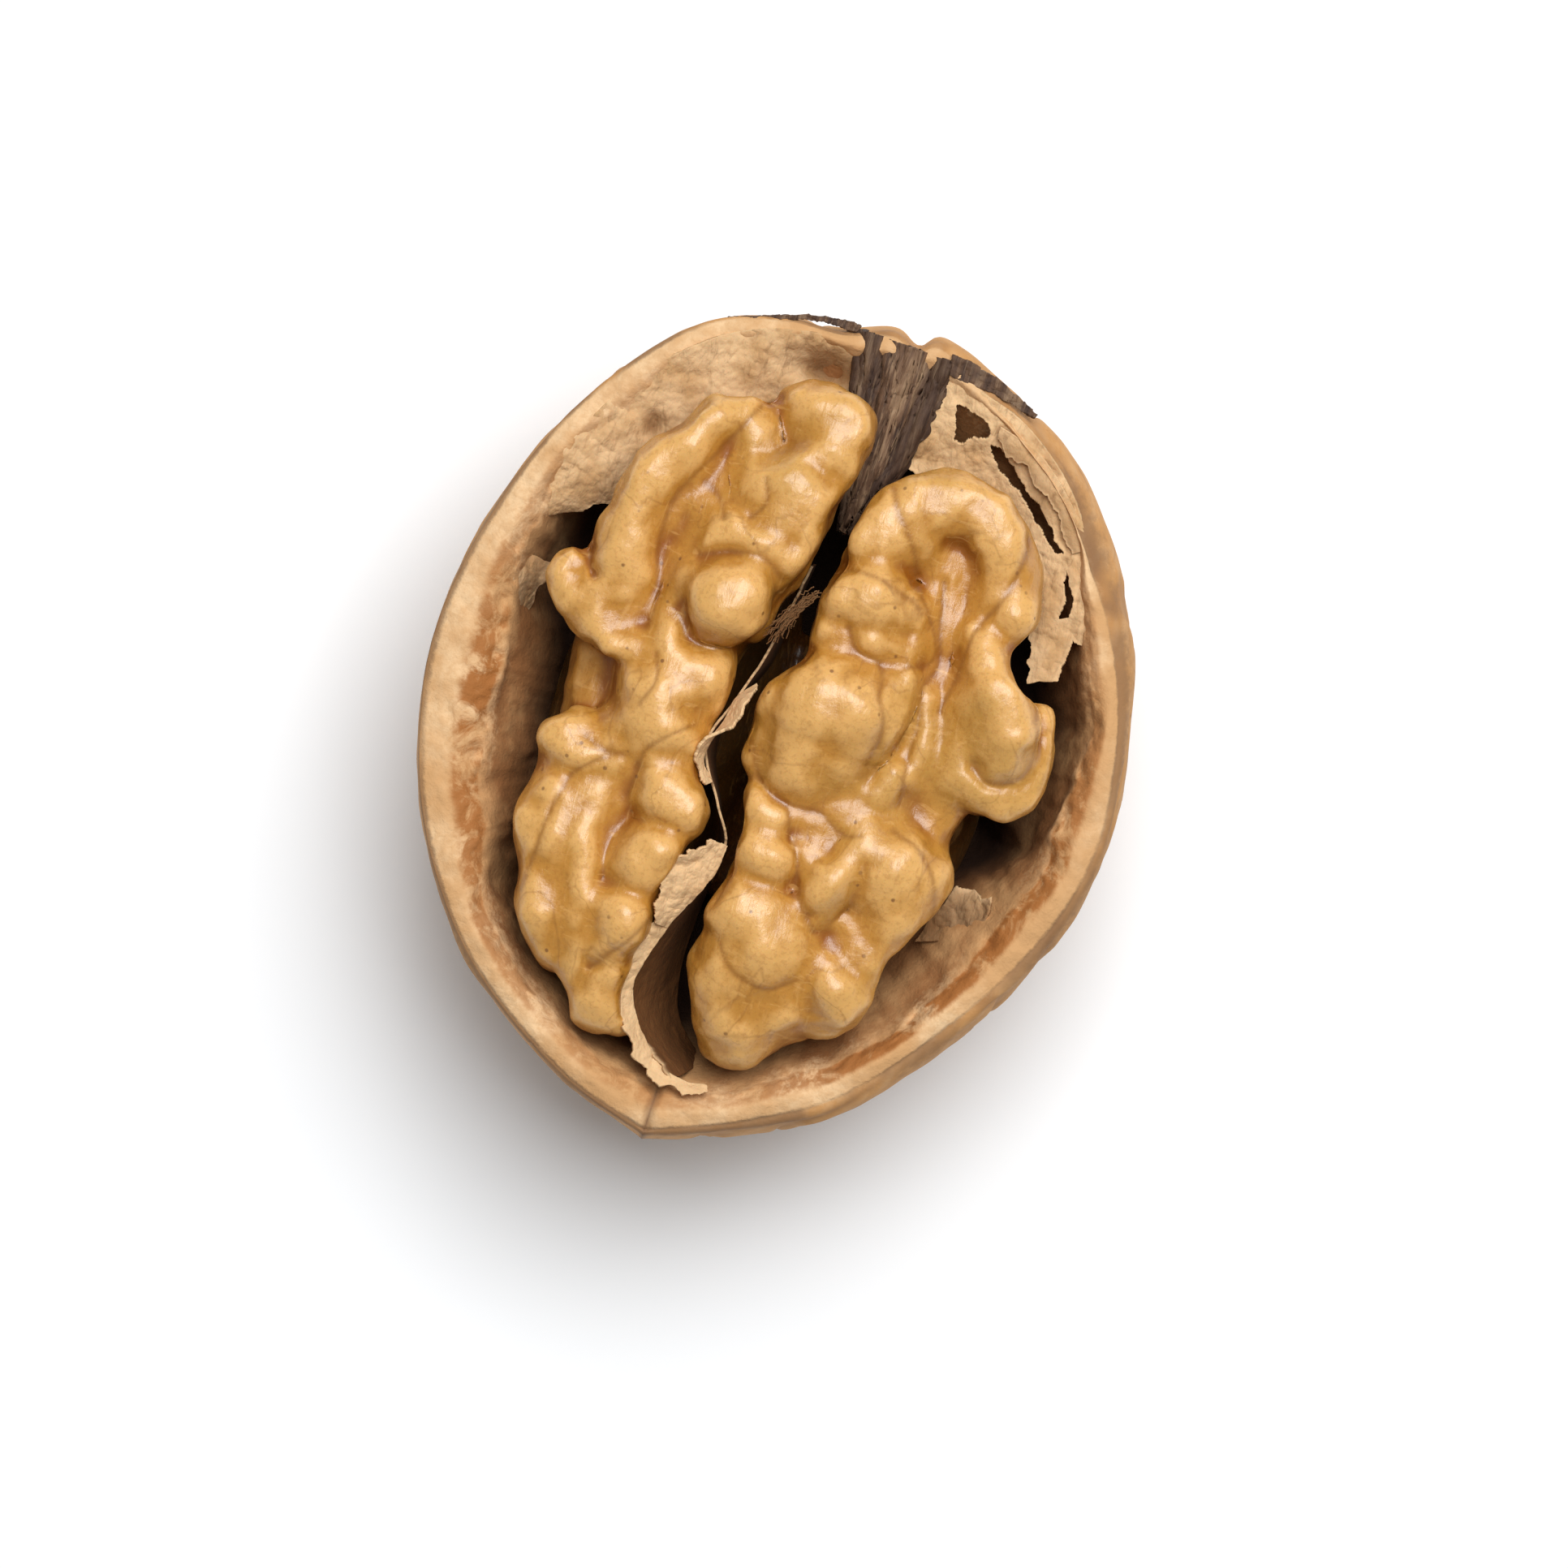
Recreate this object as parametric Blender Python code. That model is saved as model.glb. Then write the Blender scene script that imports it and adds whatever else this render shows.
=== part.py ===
"""A walnut opened along its seam: one half of the shell with the kernel still lying in it.

Frame: +Z points up out of the open shell, and +Y runs along the nut from its pointed tip to the
stem end. The origin is on the flat spot that the shell rests on, under the middle of its outline.
Every size below is in millimetres. A shape becomes metres when its object is made.
"""

import math

import bmesh
import bpy
import numpy as np
from mathutils import Matrix, Vector

MM = 0.001
CLEARANCE = 0.35  # gap between neighbouring pieces

# Driving sizes of the half shell.
RIM_Z = 17.0  # height of the broken rim above the flat spot
SEGMENTS = 96  # corners round the shell
OUTER_STEPS = 9  # rings from the widest line down to the flat spot
INNER_STEPS = 8  # rings from the cavity's widest place down to its floor
WIDEST_DROP = 3.0  # how far the widest line lies below the rim
FLOOR_WALL = 1.5  # wall thickness at the lowest point
FLOOR_CUT = 0.05  # how much of the cavity's round floor is flat
FULLNESS = 2.2  # exponent of the shell's superellipse section: 2 is an ellipse
REST_CUT = 0.3  # how much of the round bottom the flat spot takes off
RIM_TUCK = 0.965  # the rim's outer edge, as a share of the widest outline
UNDERCUT = 1.08  # the cavity at its widest, as a share of the rim's inner edge
UNDERCUT_DROP = 3.6  # how far that widest place lies below the rim

# The widest outline of the shell, from above, anticlockwise from the right. It has two shoulders
# with a notch between them at the stem end, and its tip at the other end.
OUTLINE = [
    (17.42, 0.4), (16.8, 5.2), (15.3, 10.0), (12.8, 14.3), (9.7, 17.5), (6.0, 19.6),
    (2.2, 21.1), (0.9, 20.4), (-0.4, 20.8), (-2.8, 20.0), (-5.8, 19.7), (-9.2, 18.4),
    (-12.2, 15.5), (-14.8, 11.2), (-16.5, 6.3), (-17.4, 1.0), (-17.0, -3.8), (-15.3, -9.0),
    (-12.4, -13.5), (-8.8, -16.9), (-4.6, -19.4), (-0.5, -20.8), (0.5, -20.8), (4.6, -19.3),
    (8.8, -17.0), (12.2, -13.3), (15.1, -8.8), (16.9, -4.2),
]  # fmt: skip

# The inner edge of the rim, the same way round. The wall is thickest at the left and the tip.
RIM_INNER = [
    (14.5, 0.5), (14.6, 4.6), (13.4, 8.4), (11.8, 12.4), (9.6, 15.6), (6.4, 17.7),
    (2.6, 18.7), (-1.0, 18.9), (-4.4, 18.6), (-7.6, 17.3), (-10.4, 14.9), (-12.4, 11.8),
    (-14.0, 7.2), (-14.5, 3.4), (-13.9, -0.6), (-13.0, -5.2), (-11.4, -10.6), (-8.4, -14.2),
    (-4.6, -16.9), (0.0, -18.0), (4.4, -17.1), (8.2, -14.3), (11.4, -10.6), (13.0, -6.9),
    (14.2, -3.2),
]  # fmt: skip

# Folds on the kernel's two upper lobes: each is a chain of balls (x, y, z, radius) that the
# flesh fills out.
LEFT_FOLDS = {
    "stem_bulb": [(-3.2, 15.6, 19.0, 1.9), (-1.6, 15.6, 19.2, 2.0), (-1.2, 13.4, 19.4, 1.7)],
    "inner_ridge": [(-1.6, 12.6, 19.2, 1.5), (-3.2, 10.8, 20.2, 1.9), (-3.2, 8.6, 20.4, 1.8)],
    "ball": [(-3.7, 5.6, 20.8, 2.2)],
    "outer_ridge": [(-5.8, 14.6, 18.3, 1.0), (-7.6, 12.9, 18.6, 1.6), (-9.3, 10.0, 18.6, 1.7),
                    (-10.0, 7.4, 18.2, 1.6), (-9.4, 4.2, 18.0, 1.6)],
    "ear": [(-12.2, 4.8, 17.0, 1.2), (-10.8, 3.6, 17.2, 1.5)],
    "ear_root": [(-9.6, 2.4, 15.8, 1.7), (-9.0, -0.6, 15.4, 1.5)],
    "valley": [(-6.4, 12.4, 17.0, 1.8), (-6.7, 8.6, 17.4, 2.2), (-7.0, 5.0, 17.0, 2.0)],
    "waist": [(-5.0, 2.4, 18.6, 2.1), (-5.4, 0.2, 19.4, 2.2), (-4.3, -1.2, 19.4, 1.8)],
    "waist_point": [(-8.4, 1.5, 18.8, 0.9), (-6.6, 0.9, 18.9, 1.4)],
    "low_knob": [(-9.3, -3.4, 17.4, 1.7)],
    "low_outer": [(-9.4, -5.8, 16.8, 1.5), (-9.5, -8.1, 16.6, 1.5), (-8.3, -11.6, 16.4, 1.5)],
    "low_plain": [(-6.2, -4.2, 18.2, 2.0), (-6.6, -8.4, 17.8, 2.0), (-6.8, -12.0, 16.8, 1.8)],
    "low_inner": [(-3.6, -4.8, 19.0, 1.6), (-3.9, -7.6, 19.0, 1.7), (-4.6, -11.0, 18.4, 1.7)],
    "low_end": [(-5.4, -13.0, 17.2, 1.9), (-4.4, -15.2, 16.4, 1.6)],
}  # fmt: skip
RIGHT_FOLDS = {
    "arch": [(2.8, 11.6, 19.4, 1.9), (3.6, 13.2, 19.2, 1.8), (5.6, 13.6, 19.0, 1.6),
             (7.6, 12.8, 18.8, 1.7), (9.0, 10.6, 18.4, 1.6), (9.2, 8.4, 18.4, 1.6)],
    "inner_top": [(2.4, 9.8, 20.0, 1.7), (2.4, 7.3, 20.6, 2.0), (3.0, 5.4, 20.6, 1.7)],
    "big_fold": [(3.9, 3.6, 21.0, 1.6), (1.2, 1.5, 20.8, 2.2), (3.0, 0.9, 20.8, 2.0)],
    "inner_low": [(1.2, -1.6, 19.8, 1.8), (1.5, -3.7, 19.6, 1.4), (1.7, -5.7, 19.6, 1.5)],
    "smooth_end": [(1.5, -8.4, 19.4, 1.9), (1.5, -12.0, 18.4, 1.9), (3.0, -14.3, 17.2, 1.9)],
    "valley": [(6.4, 9.6, 17.4, 2.0), (6.6, 6.0, 17.6, 1.8), (6.8, 2.0, 18.2, 1.6),
               (6.2, -2.0, 18.0, 2.0)],
    "outer_knob": [(9.6, 5.2, 19.0, 1.4), (10.3, 3.9, 19.4, 1.7), (10.6, 2.2, 18.8, 1.7)],
    "outer_hook": [(12.0, 3.6, 17.4, 1.3), (11.7, 0.8, 17.2, 1.5)],
    "low_outer": [(7.0, -4.0, 19.0, 1.6), (8.9, -5.2, 18.2, 1.5), (7.4, -7.4, 18.2, 1.6)],
    "low_small": [(5.2, -6.2, 19.4, 1.4)],
    "low_round": [(5.2, -10.0, 18.4, 2.3), (7.1, -11.1, 17.8, 1.7)],
    "root": [(8.6, 0.4, 16.6, 1.8), (8.8, -2.0, 16.4, 1.6)],
}  # fmt: skip

# Full bodies of the kernel: centre, half sizes and turn about Z in degrees. The upper ones lie
# under the folds. The lower ones fill the shell below the partition and carry the upper ones.
UPPER_BODIES = [
    ((-6.0, 6.6, 15.8), (3.9, 8.8, 2.6), -6.0),
    ((-6.4, -7.0, 15.6), (3.0, 7.6, 2.4), -12.0),
    ((5.4, 5.0, 16.0), (4.6, 8.6, 3.0), 2.0),
    ((4.3, -6.6, 16.0), (4.1, 8.4, 2.8), -6.0),
]
LOWER_BODIES = [
    ((-5.6, 0.0, 9.2), (5.6, 14.4, 5.6), -2.0),
    ((5.6, 0.0, 9.2), (5.6, 14.4, 5.6), 2.0),
    ((6.4, 11.4, 10.2), (3.6, 3.8, 2.6), 0.0),
    ((0.0, -4.0, 7.2), (4.0, 5.0, 2.4), 0.0),
]
KERNEL_STEP = 0.62  # voxel size that the kernel's solid is melted at
KERNEL_RELAX = 4  # rounds of smoothing after that
KERNEL_SHARE = 0.35  # share of the triangles kept after that

# Upright partition between the lobes: y, then x and height of its torn top edge, then x of its
# foot. It leans away from the right lobe towards the tip.
PARTITION_RUN = [
    (8.6, -0.35, 15.4, -0.3), (5.8, -0.75, 16.4, -0.6), (3.2, -0.95, 17.2, -0.9),
    (0.6, -1.9, 17.4, -1.3), (-2.0, -1.7, 17.2, -1.2), (-4.6, -1.1, 17.6, -1.0),
    (-7.0, -1.35, 17.8, -1.0), (-9.6, -1.75, 17.2, -1.0), (-12.2, -2.3, 16.6, -1.0),
    (-14.4, -2.4, 16.0, -0.8), (-16.0, -1.2, 15.8, 0.0), (-17.1, 1.0, 15.4, 1.4),
]  # fmt: skip
PARTITION_FOOT = 14.2  # height of its foot
PARTITION_WALL = 0.4
PARTITION_COLUMNS = 36  # how many steps it is cut into along its run
PARTITION_ROWS = 3  # and up its height

# Papery flaps of the partition on each side of the stem fibres: the edge along the shell, then
# the torn edge beside the kernel, both from the stem outwards, as (x, y, height).
LEFT_FLAP = (
    [(-4.3, 18.2, 16.6), (-6.6, 17.0, 16.5), (-8.8, 15.2, 16.2), (-10.6, 12.8, 16.0),
     (-12.0, 10.2, 15.8), (-12.8, 7.8, 15.4)],
    [(-4.4, 16.8, 15.8), (-7.0, 15.2, 15.6), (-8.9, 13.4, 15.4), (-10.6, 10.9, 15.2),
     (-11.2, 9.0, 15.0), (-11.7, 7.2, 14.8)],
)  # fmt: skip
RIGHT_FLAP = (
    [(3.4, 18.0, 15.4), (5.8, 17.2, 15.2), (8.6, 15.2, 14.8), (10.9, 12.6, 14.6),
     (12.2, 9.8, 14.4), (12.9, 7.2, 14.2)],
    [(3.5, 15.0, 15.0), (6.2, 14.8, 14.8), (8.5, 13.1, 14.7), (10.1, 10.6, 14.5),
     (10.9, 8.4, 14.4), (11.5, 6.4, 14.3)],
)  # fmt: skip
FLAP_WALL = 0.45
FLAP_STEPS = 18  # how many corners each edge of a flap has

# Dark fibres that run in from the stem: y, x of the middle, half width, top and foot.
FIBRE_RUN = [
    (18.3, 0.55, 2.0, 16.9, 12.6), (17.0, 0.65, 1.85, 16.7, 12.6), (15.4, 0.95, 1.35, 16.2, 12.7),
    (13.8, 0.85, 0.95, 15.8, 12.9), (12.2, 0.55, 0.6, 15.2, 13.2), (10.6, 0.4, 0.35, 14.6, 13.6),
]  # fmt: skip
FIBRE_ROUND = 0.3  # how far the edges of their top are rounded down


def coloured(name, colour, roughness):
    """A plain material of the piece's own colour."""
    material = bpy.data.materials.new(name)
    material.use_nodes = True
    shader = material.node_tree.nodes["Principled BSDF"]
    shader.inputs["Base Color"].default_value = (*colour, 1.0)
    shader.inputs["Roughness"].default_value = roughness
    shader.inputs["Metallic"].default_value = 0.0
    return material


def finished(name, bm, material):
    """Turns a bmesh in millimetres into a named object in metres."""
    bmesh.ops.recalc_face_normals(bm, faces=bm.faces)
    bmesh.ops.scale(bm, vec=Vector((MM, MM, MM)), verts=bm.verts)
    mesh = bpy.data.meshes.new(name)
    bm.to_mesh(mesh)
    bm.free()
    mesh.materials.append(material)
    mesh.shade_smooth()
    obj = bpy.data.objects.new(name, mesh)
    bpy.context.scene.collection.objects.link(obj)
    return obj


def smooth_between(a, b, c, d, t):
    """The Catmull-Rom curve from b to c at t, for numbers or vectors."""
    return 0.5 * (
        2 * b + (c - a) * t + (2 * a - 5 * b + 4 * c - d) * t**2 + (3 * b - a - 3 * c + d) * t**3
    )


def closed_curve(points, count):
    """count points on the smooth closed curve through the given ones."""
    knots = [Vector(p) for p in points]
    made = []
    for i in range(count):
        at = i * len(knots) / count
        k = int(at)
        around = [knots[(k + step) % len(knots)] for step in (-1, 0, 1, 2)]
        made.append(smooth_between(*around, at - k))
    return made


def open_curve(points, count):
    """count points on the smooth open curve through the given ones, ends included."""
    knots = [Vector(p) for p in points]
    knots = [2 * knots[0] - knots[1], *knots, 2 * knots[-1] - knots[-2]]
    made = []
    for i in range(count):
        at = i * (len(knots) - 3) / (count - 1)
        k = min(int(at), len(knots) - 4)
        made.append(smooth_between(*knots[k : k + 4], at - k))
    return made


def ring_edges(bm, ring):
    """The edges between the vertices of a closed ring."""
    return [bm.edges.get(pair) for pair in zip(ring, ring[1:] + ring[:1])]


def moved_to(bm, old, edges, places):
    """Extrudes edges, moves the partners of the old vertices to the places and returns them."""
    made = bmesh.ops.extrude_edge_only(bm, edges=edges)["geom"]
    new = {v for v in made if isinstance(v, bmesh.types.BMVert)}
    partners = []
    for vertex, place in zip(old, places):
        ends = [edge.other_vert(vertex) for edge in vertex.link_edges]
        partner = next(end for end in ends if end in new)
        partner.co = place
        partners.append(partner)
    return partners


def next_ring(bm, ring, places):
    """Extrudes a closed ring of vertices to a ring at the given places."""
    return moved_to(bm, ring, ring_edges(bm, ring), places)


def radius_round(points):
    """A function from an angle about Z to the radius of the closed curve through the points."""
    curve = closed_curve(points, 720)
    angles = [math.atan2(p.y, p.x) for p in curve]
    radii = [p.length for p in curve]
    return lambda angle: float(np.interp(angle, angles, radii, period=2 * math.pi))


outer_radius = radius_round(OUTLINE)
inner_radius = radius_round(RIM_INNER)


def bowl(depth, steps, start, cut):
    """(share of the widest, height) of rings down a round bowl, cut off flat near its bottom."""
    last = math.asin((1.0 - cut / depth) ** (FULLNESS / 2))
    rings = []
    for i in range(1, steps + 1):
        angle = last * i / steps
        share = math.cos(angle) ** (2 / FULLNESS)
        rings.append((share, start - depth * math.sin(angle) ** (2 / FULLNESS)))
    return rings


def outer_profile():
    """(share of the outline, height) of each ring of the outer face, from rim to flat spot."""
    widest = RIM_Z - WIDEST_DROP
    rings = [(RIM_TUCK, RIM_Z), (0.987, RIM_Z - 0.4 * WIDEST_DROP), (1.0, widest)]
    return rings + bowl(widest + REST_CUT, OUTER_STEPS, widest, REST_CUT)


def inner_profile():
    """(share of the rim's inner edge, height) of each ring of the cavity, from rim to floor."""
    widest = RIM_Z - UNDERCUT_DROP
    rings = [(1.0, RIM_Z), (1.02, RIM_Z - 0.4 * UNDERCUT_DROP), (UNDERCUT, widest)]
    below = bowl(widest - FLOOR_WALL, INNER_STEPS, widest, FLOOR_CUT)
    return rings + [(UNDERCUT * share, height) for share, height in below]


def cavity_radius(angle, height):
    """How far the cavity reaches from the middle at an angle and a height."""
    shares, heights = zip(*reversed(inner_profile()))
    return inner_radius(angle) * float(np.interp(height, heights, shares))


def kept_inside(bm, gap):
    """Pulls every vertex below the rim's height clear of the shell's wall."""
    for vertex in bm.verts:
        flat = vertex.co.xy
        most = cavity_radius(math.atan2(flat.y, flat.x), vertex.co.z) - gap
        if flat.length > most:
            vertex.co.xy = flat * (most / flat.length)


def ring_places(radius, share, height):
    """Where the corners of one ring of the shell lie."""
    angles = [2 * math.pi * i / SEGMENTS for i in range(SEGMENTS)]
    reach = [radius(a) * share for a in angles]
    return [Vector((r * math.cos(a), r * math.sin(a), height)) for a, r in zip(angles, reach)]


def half_shell(material):
    """The woody half shell: flat spot, outer face, broken rim and cavity, one closed wall."""
    bm = bmesh.new()
    ring = bmesh.ops.create_circle(bm, cap_ends=True, segments=SEGMENTS, radius=1.0)["verts"]
    flat_share, _ = outer_profile()[-1]
    for vertex, place in zip(ring, ring_places(outer_radius, flat_share, 0.0)):
        vertex.co = place
    for share, height in reversed(outer_profile()[:-1]):
        ring = next_ring(bm, ring, ring_places(outer_radius, share, height))
    for share, height in inner_profile():
        ring = next_ring(bm, ring, ring_places(inner_radius, share, height))
    bmesh.ops.contextual_create(bm, geom=ring_edges(bm, ring))
    return finished("half_shell", bm, material)


def add_ball(bm, centre, radius):
    """Adds one round ball."""
    place = Matrix.Translation(Vector(centre))
    bmesh.ops.create_icosphere(bm, subdivisions=2, radius=radius, matrix=place)


def add_chain(bm, balls):
    """Adds balls close enough together to make one rounded fold through the given ones."""
    if len(balls) == 1:
        add_ball(bm, balls[0][:3], balls[0][3])
        return
    for (*start, first_radius), (*end, last_radius) in zip(balls, balls[1:]):
        a, b = Vector(start), Vector(end)
        count = max(2, math.ceil((b - a).length / (0.4 * min(first_radius, last_radius))))
        for i in range(count + 1):
            t = i / count
            add_ball(bm, a.lerp(b, t), first_radius + (last_radius - first_radius) * t)


def add_body(bm, centre, halves, turn):
    """Adds one ellipsoid with the given half sizes, turned about Z."""
    place = (
        Matrix.Translation(Vector(centre))
        @ Matrix.Rotation(math.radians(turn), 4, "Z")
        @ Matrix.Diagonal((*halves, 1.0))
    )
    bmesh.ops.create_icosphere(bm, subdivisions=4, radius=1.0, matrix=place)


def kernel(material):
    """The whole kernel, one seed: two folded lobes on top, joined through the two below."""
    bm = bmesh.new()
    for body in UPPER_BODIES + LOWER_BODIES:
        add_body(bm, *body)
    for balls in [*LEFT_FOLDS.values(), *RIGHT_FOLDS.values()]:
        add_chain(bm, balls)
    kept_inside(bm, 2 * CLEARANCE)
    obj = finished("kernel", bm, material)
    melt = obj.modifiers.new("melt", "REMESH")
    melt.mode = "VOXEL"
    melt.voxel_size = KERNEL_STEP * MM
    relax = obj.modifiers.new("relax", "SMOOTH")
    relax.factor = 0.5
    relax.iterations = KERNEL_RELAX
    obj.modifiers.new("thin_out", "DECIMATE").ratio = KERNEL_SHARE
    return obj


def thickened(bm, wall):
    """Gives an open sheet a wall, half on each side."""
    bmesh.ops.recalc_face_normals(bm, faces=bm.faces)
    bm.normal_update()
    for vertex in bm.verts:
        vertex.co -= vertex.normal * wall / 2
    bmesh.ops.solidify(bm, geom=bm.faces[:], thickness=-wall)


def partition(material):
    """The upright papery partition between the two lobes."""
    tops = open_curve([(x, y, top) for y, x, top, _ in PARTITION_RUN], PARTITION_COLUMNS)
    feet = open_curve([(x, y, PARTITION_FOOT) for y, _, _, x in PARTITION_RUN], PARTITION_COLUMNS)
    bm = bmesh.new()
    row = [bm.verts.new(place) for place in feet]
    edges = [bm.edges.new(pair) for pair in zip(row, row[1:])]
    for step in range(1, PARTITION_ROWS + 1):
        places = [foot.lerp(top, step / PARTITION_ROWS) for foot, top in zip(feet, tops)]
        row = moved_to(bm, row, edges, places)
        edges = [bm.edges.get(pair) for pair in zip(row, row[1:])]
    thickened(bm, PARTITION_WALL)
    kept_inside(bm, CLEARANCE)
    return finished("partition_middle", bm, material)


def flap(name, edges, material):
    """A thin papery flap between an edge along the shell and a torn edge beside the kernel."""
    shell_edge, torn_edge = (open_curve(points, FLAP_STEPS) for points in edges)
    bm = bmesh.new()
    row = [bm.verts.new(place) for place in shell_edge]
    moved_to(bm, row, [bm.edges.new(pair) for pair in zip(row, row[1:])], torn_edge)
    thickened(bm, FLAP_WALL)
    kept_inside(bm, CLEARANCE)
    return finished(name, bm, material)


def stem_fibres(material):
    """The dark wedge of fibres that enters at the stem and dips between the lobes."""
    bm = bmesh.new()
    sections = []
    for y, middle, half, top, foot in FIBRE_RUN:
        edge = top - FIBRE_ROUND
        corners = [(-1.0, foot), (1.0, foot), (1.0, edge), (0.5, top), (-0.5, top), (-1.0, edge)]
        sections.append([Vector((middle + side * half, y, z)) for side, z in corners])
    made = bmesh.ops.create_circle(bm, cap_ends=True, segments=len(sections[0]), radius=1.0)
    ring = made["verts"]
    for vertex, place in zip(ring, sections[0]):
        vertex.co = place
    for section in sections[1:]:
        ring = next_ring(bm, ring, section)
    bmesh.ops.contextual_create(bm, geom=ring_edges(bm, ring))
    kept_inside(bm, CLEARANCE)
    return finished("stem_fibres", bm, material)


def main():
    """Clears the scene and builds every piece of the nut in it."""
    for obj in list(bpy.data.objects):
        bpy.data.objects.remove(obj)
    wood = coloured("shell_wood", (0.62, 0.40, 0.22), 0.75)
    skin = coloured("kernel_skin", (0.66, 0.40, 0.13), 0.4)
    paper = coloured("partition_paper", (0.55, 0.36, 0.22), 0.85)
    fibre = coloured("stem_fibre", (0.16, 0.10, 0.07), 0.8)
    half_shell(wood)
    stem_fibres(fibre)
    kernel(skin)
    partition(paper)
    flap("partition_left", LEFT_FLAP, paper)
    flap("partition_right", RIGHT_FLAP, paper)


main()
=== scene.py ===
"""Looks of a walnut that lies open in one half of its shell.

Every shape below is worked out in millimetres and becomes metres when its mesh is finished. The
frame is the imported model's: +Z out of the open shell and +Y from the pointed tip to the stem.
"""

import logging
import math
from collections.abc import Sequence
from dataclasses import dataclass, field
from enum import Enum

import bmesh
import bpy
import numpy as np
from mathutils import Matrix, Vector, noise


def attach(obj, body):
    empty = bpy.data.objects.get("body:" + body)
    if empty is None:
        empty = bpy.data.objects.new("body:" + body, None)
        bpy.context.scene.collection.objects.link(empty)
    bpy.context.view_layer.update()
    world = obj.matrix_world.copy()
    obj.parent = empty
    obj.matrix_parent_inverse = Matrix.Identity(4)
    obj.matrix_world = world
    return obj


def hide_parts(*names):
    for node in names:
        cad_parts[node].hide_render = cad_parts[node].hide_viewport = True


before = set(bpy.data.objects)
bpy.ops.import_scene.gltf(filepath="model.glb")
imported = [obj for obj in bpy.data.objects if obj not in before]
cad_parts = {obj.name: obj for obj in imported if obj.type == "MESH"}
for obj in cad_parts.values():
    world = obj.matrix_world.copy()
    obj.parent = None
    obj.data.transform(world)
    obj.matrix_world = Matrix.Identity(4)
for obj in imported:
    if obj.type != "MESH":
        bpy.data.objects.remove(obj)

logger = logging.getLogger("walnut")

MM = 0.001
BODY = "root"
FAR = 1e9  # millimetres, further than anything in the nut
Points = np.ndarray
Place = tuple[float, ...]


class Slot(Enum):
    """The record's material slots."""

    SHELL = "shell_wood"
    KERNEL = "kernel_skin"
    PAPER = "partition_paper"
    FIBRE = "stem_fibre"


# ---------------------------------------------------------------------------------- small tools


def smooth_curve(points: Sequence[Place], count: int, closed: bool = False) -> Points:
    """Puts points on the smooth curve through the given ones.

    Args:
        points: Where the curve passes.
        count: How many points to make.
        closed: Whether the curve joins its end to its start.

    Returns:
        One row for each point made.
    """
    knots = np.array(points, float)
    if closed:
        at = np.arange(count) * len(knots) / count
        pick = [(at.astype(int) + step) % len(knots) for step in (-1, 0, 1, 2)]
        a, b, c, d = (knots[i] for i in pick)
    else:
        knots = np.vstack([2 * knots[0] - knots[1], knots, 2 * knots[-1] - knots[-2]])
        at = np.linspace(0, len(knots) - 3, count)
        first = np.minimum(at.astype(int), len(knots) - 4)
        a, b, c, d = (knots[first + step] for step in (0, 1, 2, 3))
    t = (at - (at.astype(int) if closed else first))[:, None]
    return 0.5 * (
        2 * b + (c - a) * t + (2 * a - 5 * b + 4 * c - d) * t**2 + (3 * b - a - 3 * c + d) * t**3
    )


def smooth_step(low: float, high: float, value: Points) -> Points:
    """Goes smoothly from 0 at low to 1 at high."""
    t = np.clip((value - low) / (high - low), 0.0, 1.0)
    return t * t * (3 - 2 * t)


def cloud(points: Points, size: Place | float, octaves: int = 3, seed: float = 0.0) -> Points:
    """Reads a cloudy pattern at the points.

    Args:
        points: Places in millimetres, one row each.
        size: How big the largest lumps are, along each axis or on all.
        octaves: How many finer layers it has.
        seed: Moves the pattern, so that two pieces differ.

    Returns:
        A value from about -1 to 1 for each point.
    """
    scaled = points / np.asarray(size) + seed
    return np.array([noise.fractal(Vector(p), 1.0, 2.0, octaves) for p in scaled.tolist()])


def spread(edge: Sequence[Place], share: Points, count: int) -> Points:
    """Finds the places that lie at each share of the way along a smooth edge.

    Args:
        edge: Where the edge passes.
        share: How far along it each place lies, from 0 to 1.
        count: How many points stand for the curve.

    Returns:
        One row for each share.
    """
    here = np.linspace(0.0, 1.0, count)
    return np.column_stack([np.interp(share, here, axis) for axis in smooth_curve(edge, count).T])


def read_table(table: Sequence[Place], at: Points) -> Points:
    """Reads a table of (place, value) rows, evenly between its rows."""
    return np.interp(at, *zip(*table))


def near_line(points: Points, line: Points) -> Points:
    """Measures how far each point lies from a line, seen from above.

    Args:
        points: Places in millimetres, one row each.
        line: The places that the line joins up.

    Returns:
        A distance for each point.
    """
    best = np.full(len(points), FAR)
    for start, end in zip(line[:-1, :2], line[1:, :2]):
        along = end - start
        t = np.clip((points[:, :2] - start) @ along / max(along @ along, 1e-12), 0.0, 1.0)
        gap = points[:, :2] - start - t[:, None] * along
        best = np.minimum(best, np.hypot(gap[:, 0], gap[:, 1]))
    return best


def inside(points: Points, corners: Sequence[Place]) -> Points:
    """Tells which points lie inside an outline, seen from above.

    Args:
        points: Places in millimetres, one row each.
        corners: The outline's corners, in order.

    Returns:
        True for each point that lies inside.
    """
    x, y = points[:, 0], points[:, 1]
    found = np.zeros(len(points), bool)
    for (x0, y0), (x1, y1) in zip(corners, [*corners[1:], corners[0]]):
        crosses = (y0 > y) != (y1 > y)
        found ^= crosses & (x < (x1 - x0) * (y - y0) / ((y1 - y0) or 1e-9) + x0)
    return found


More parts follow.
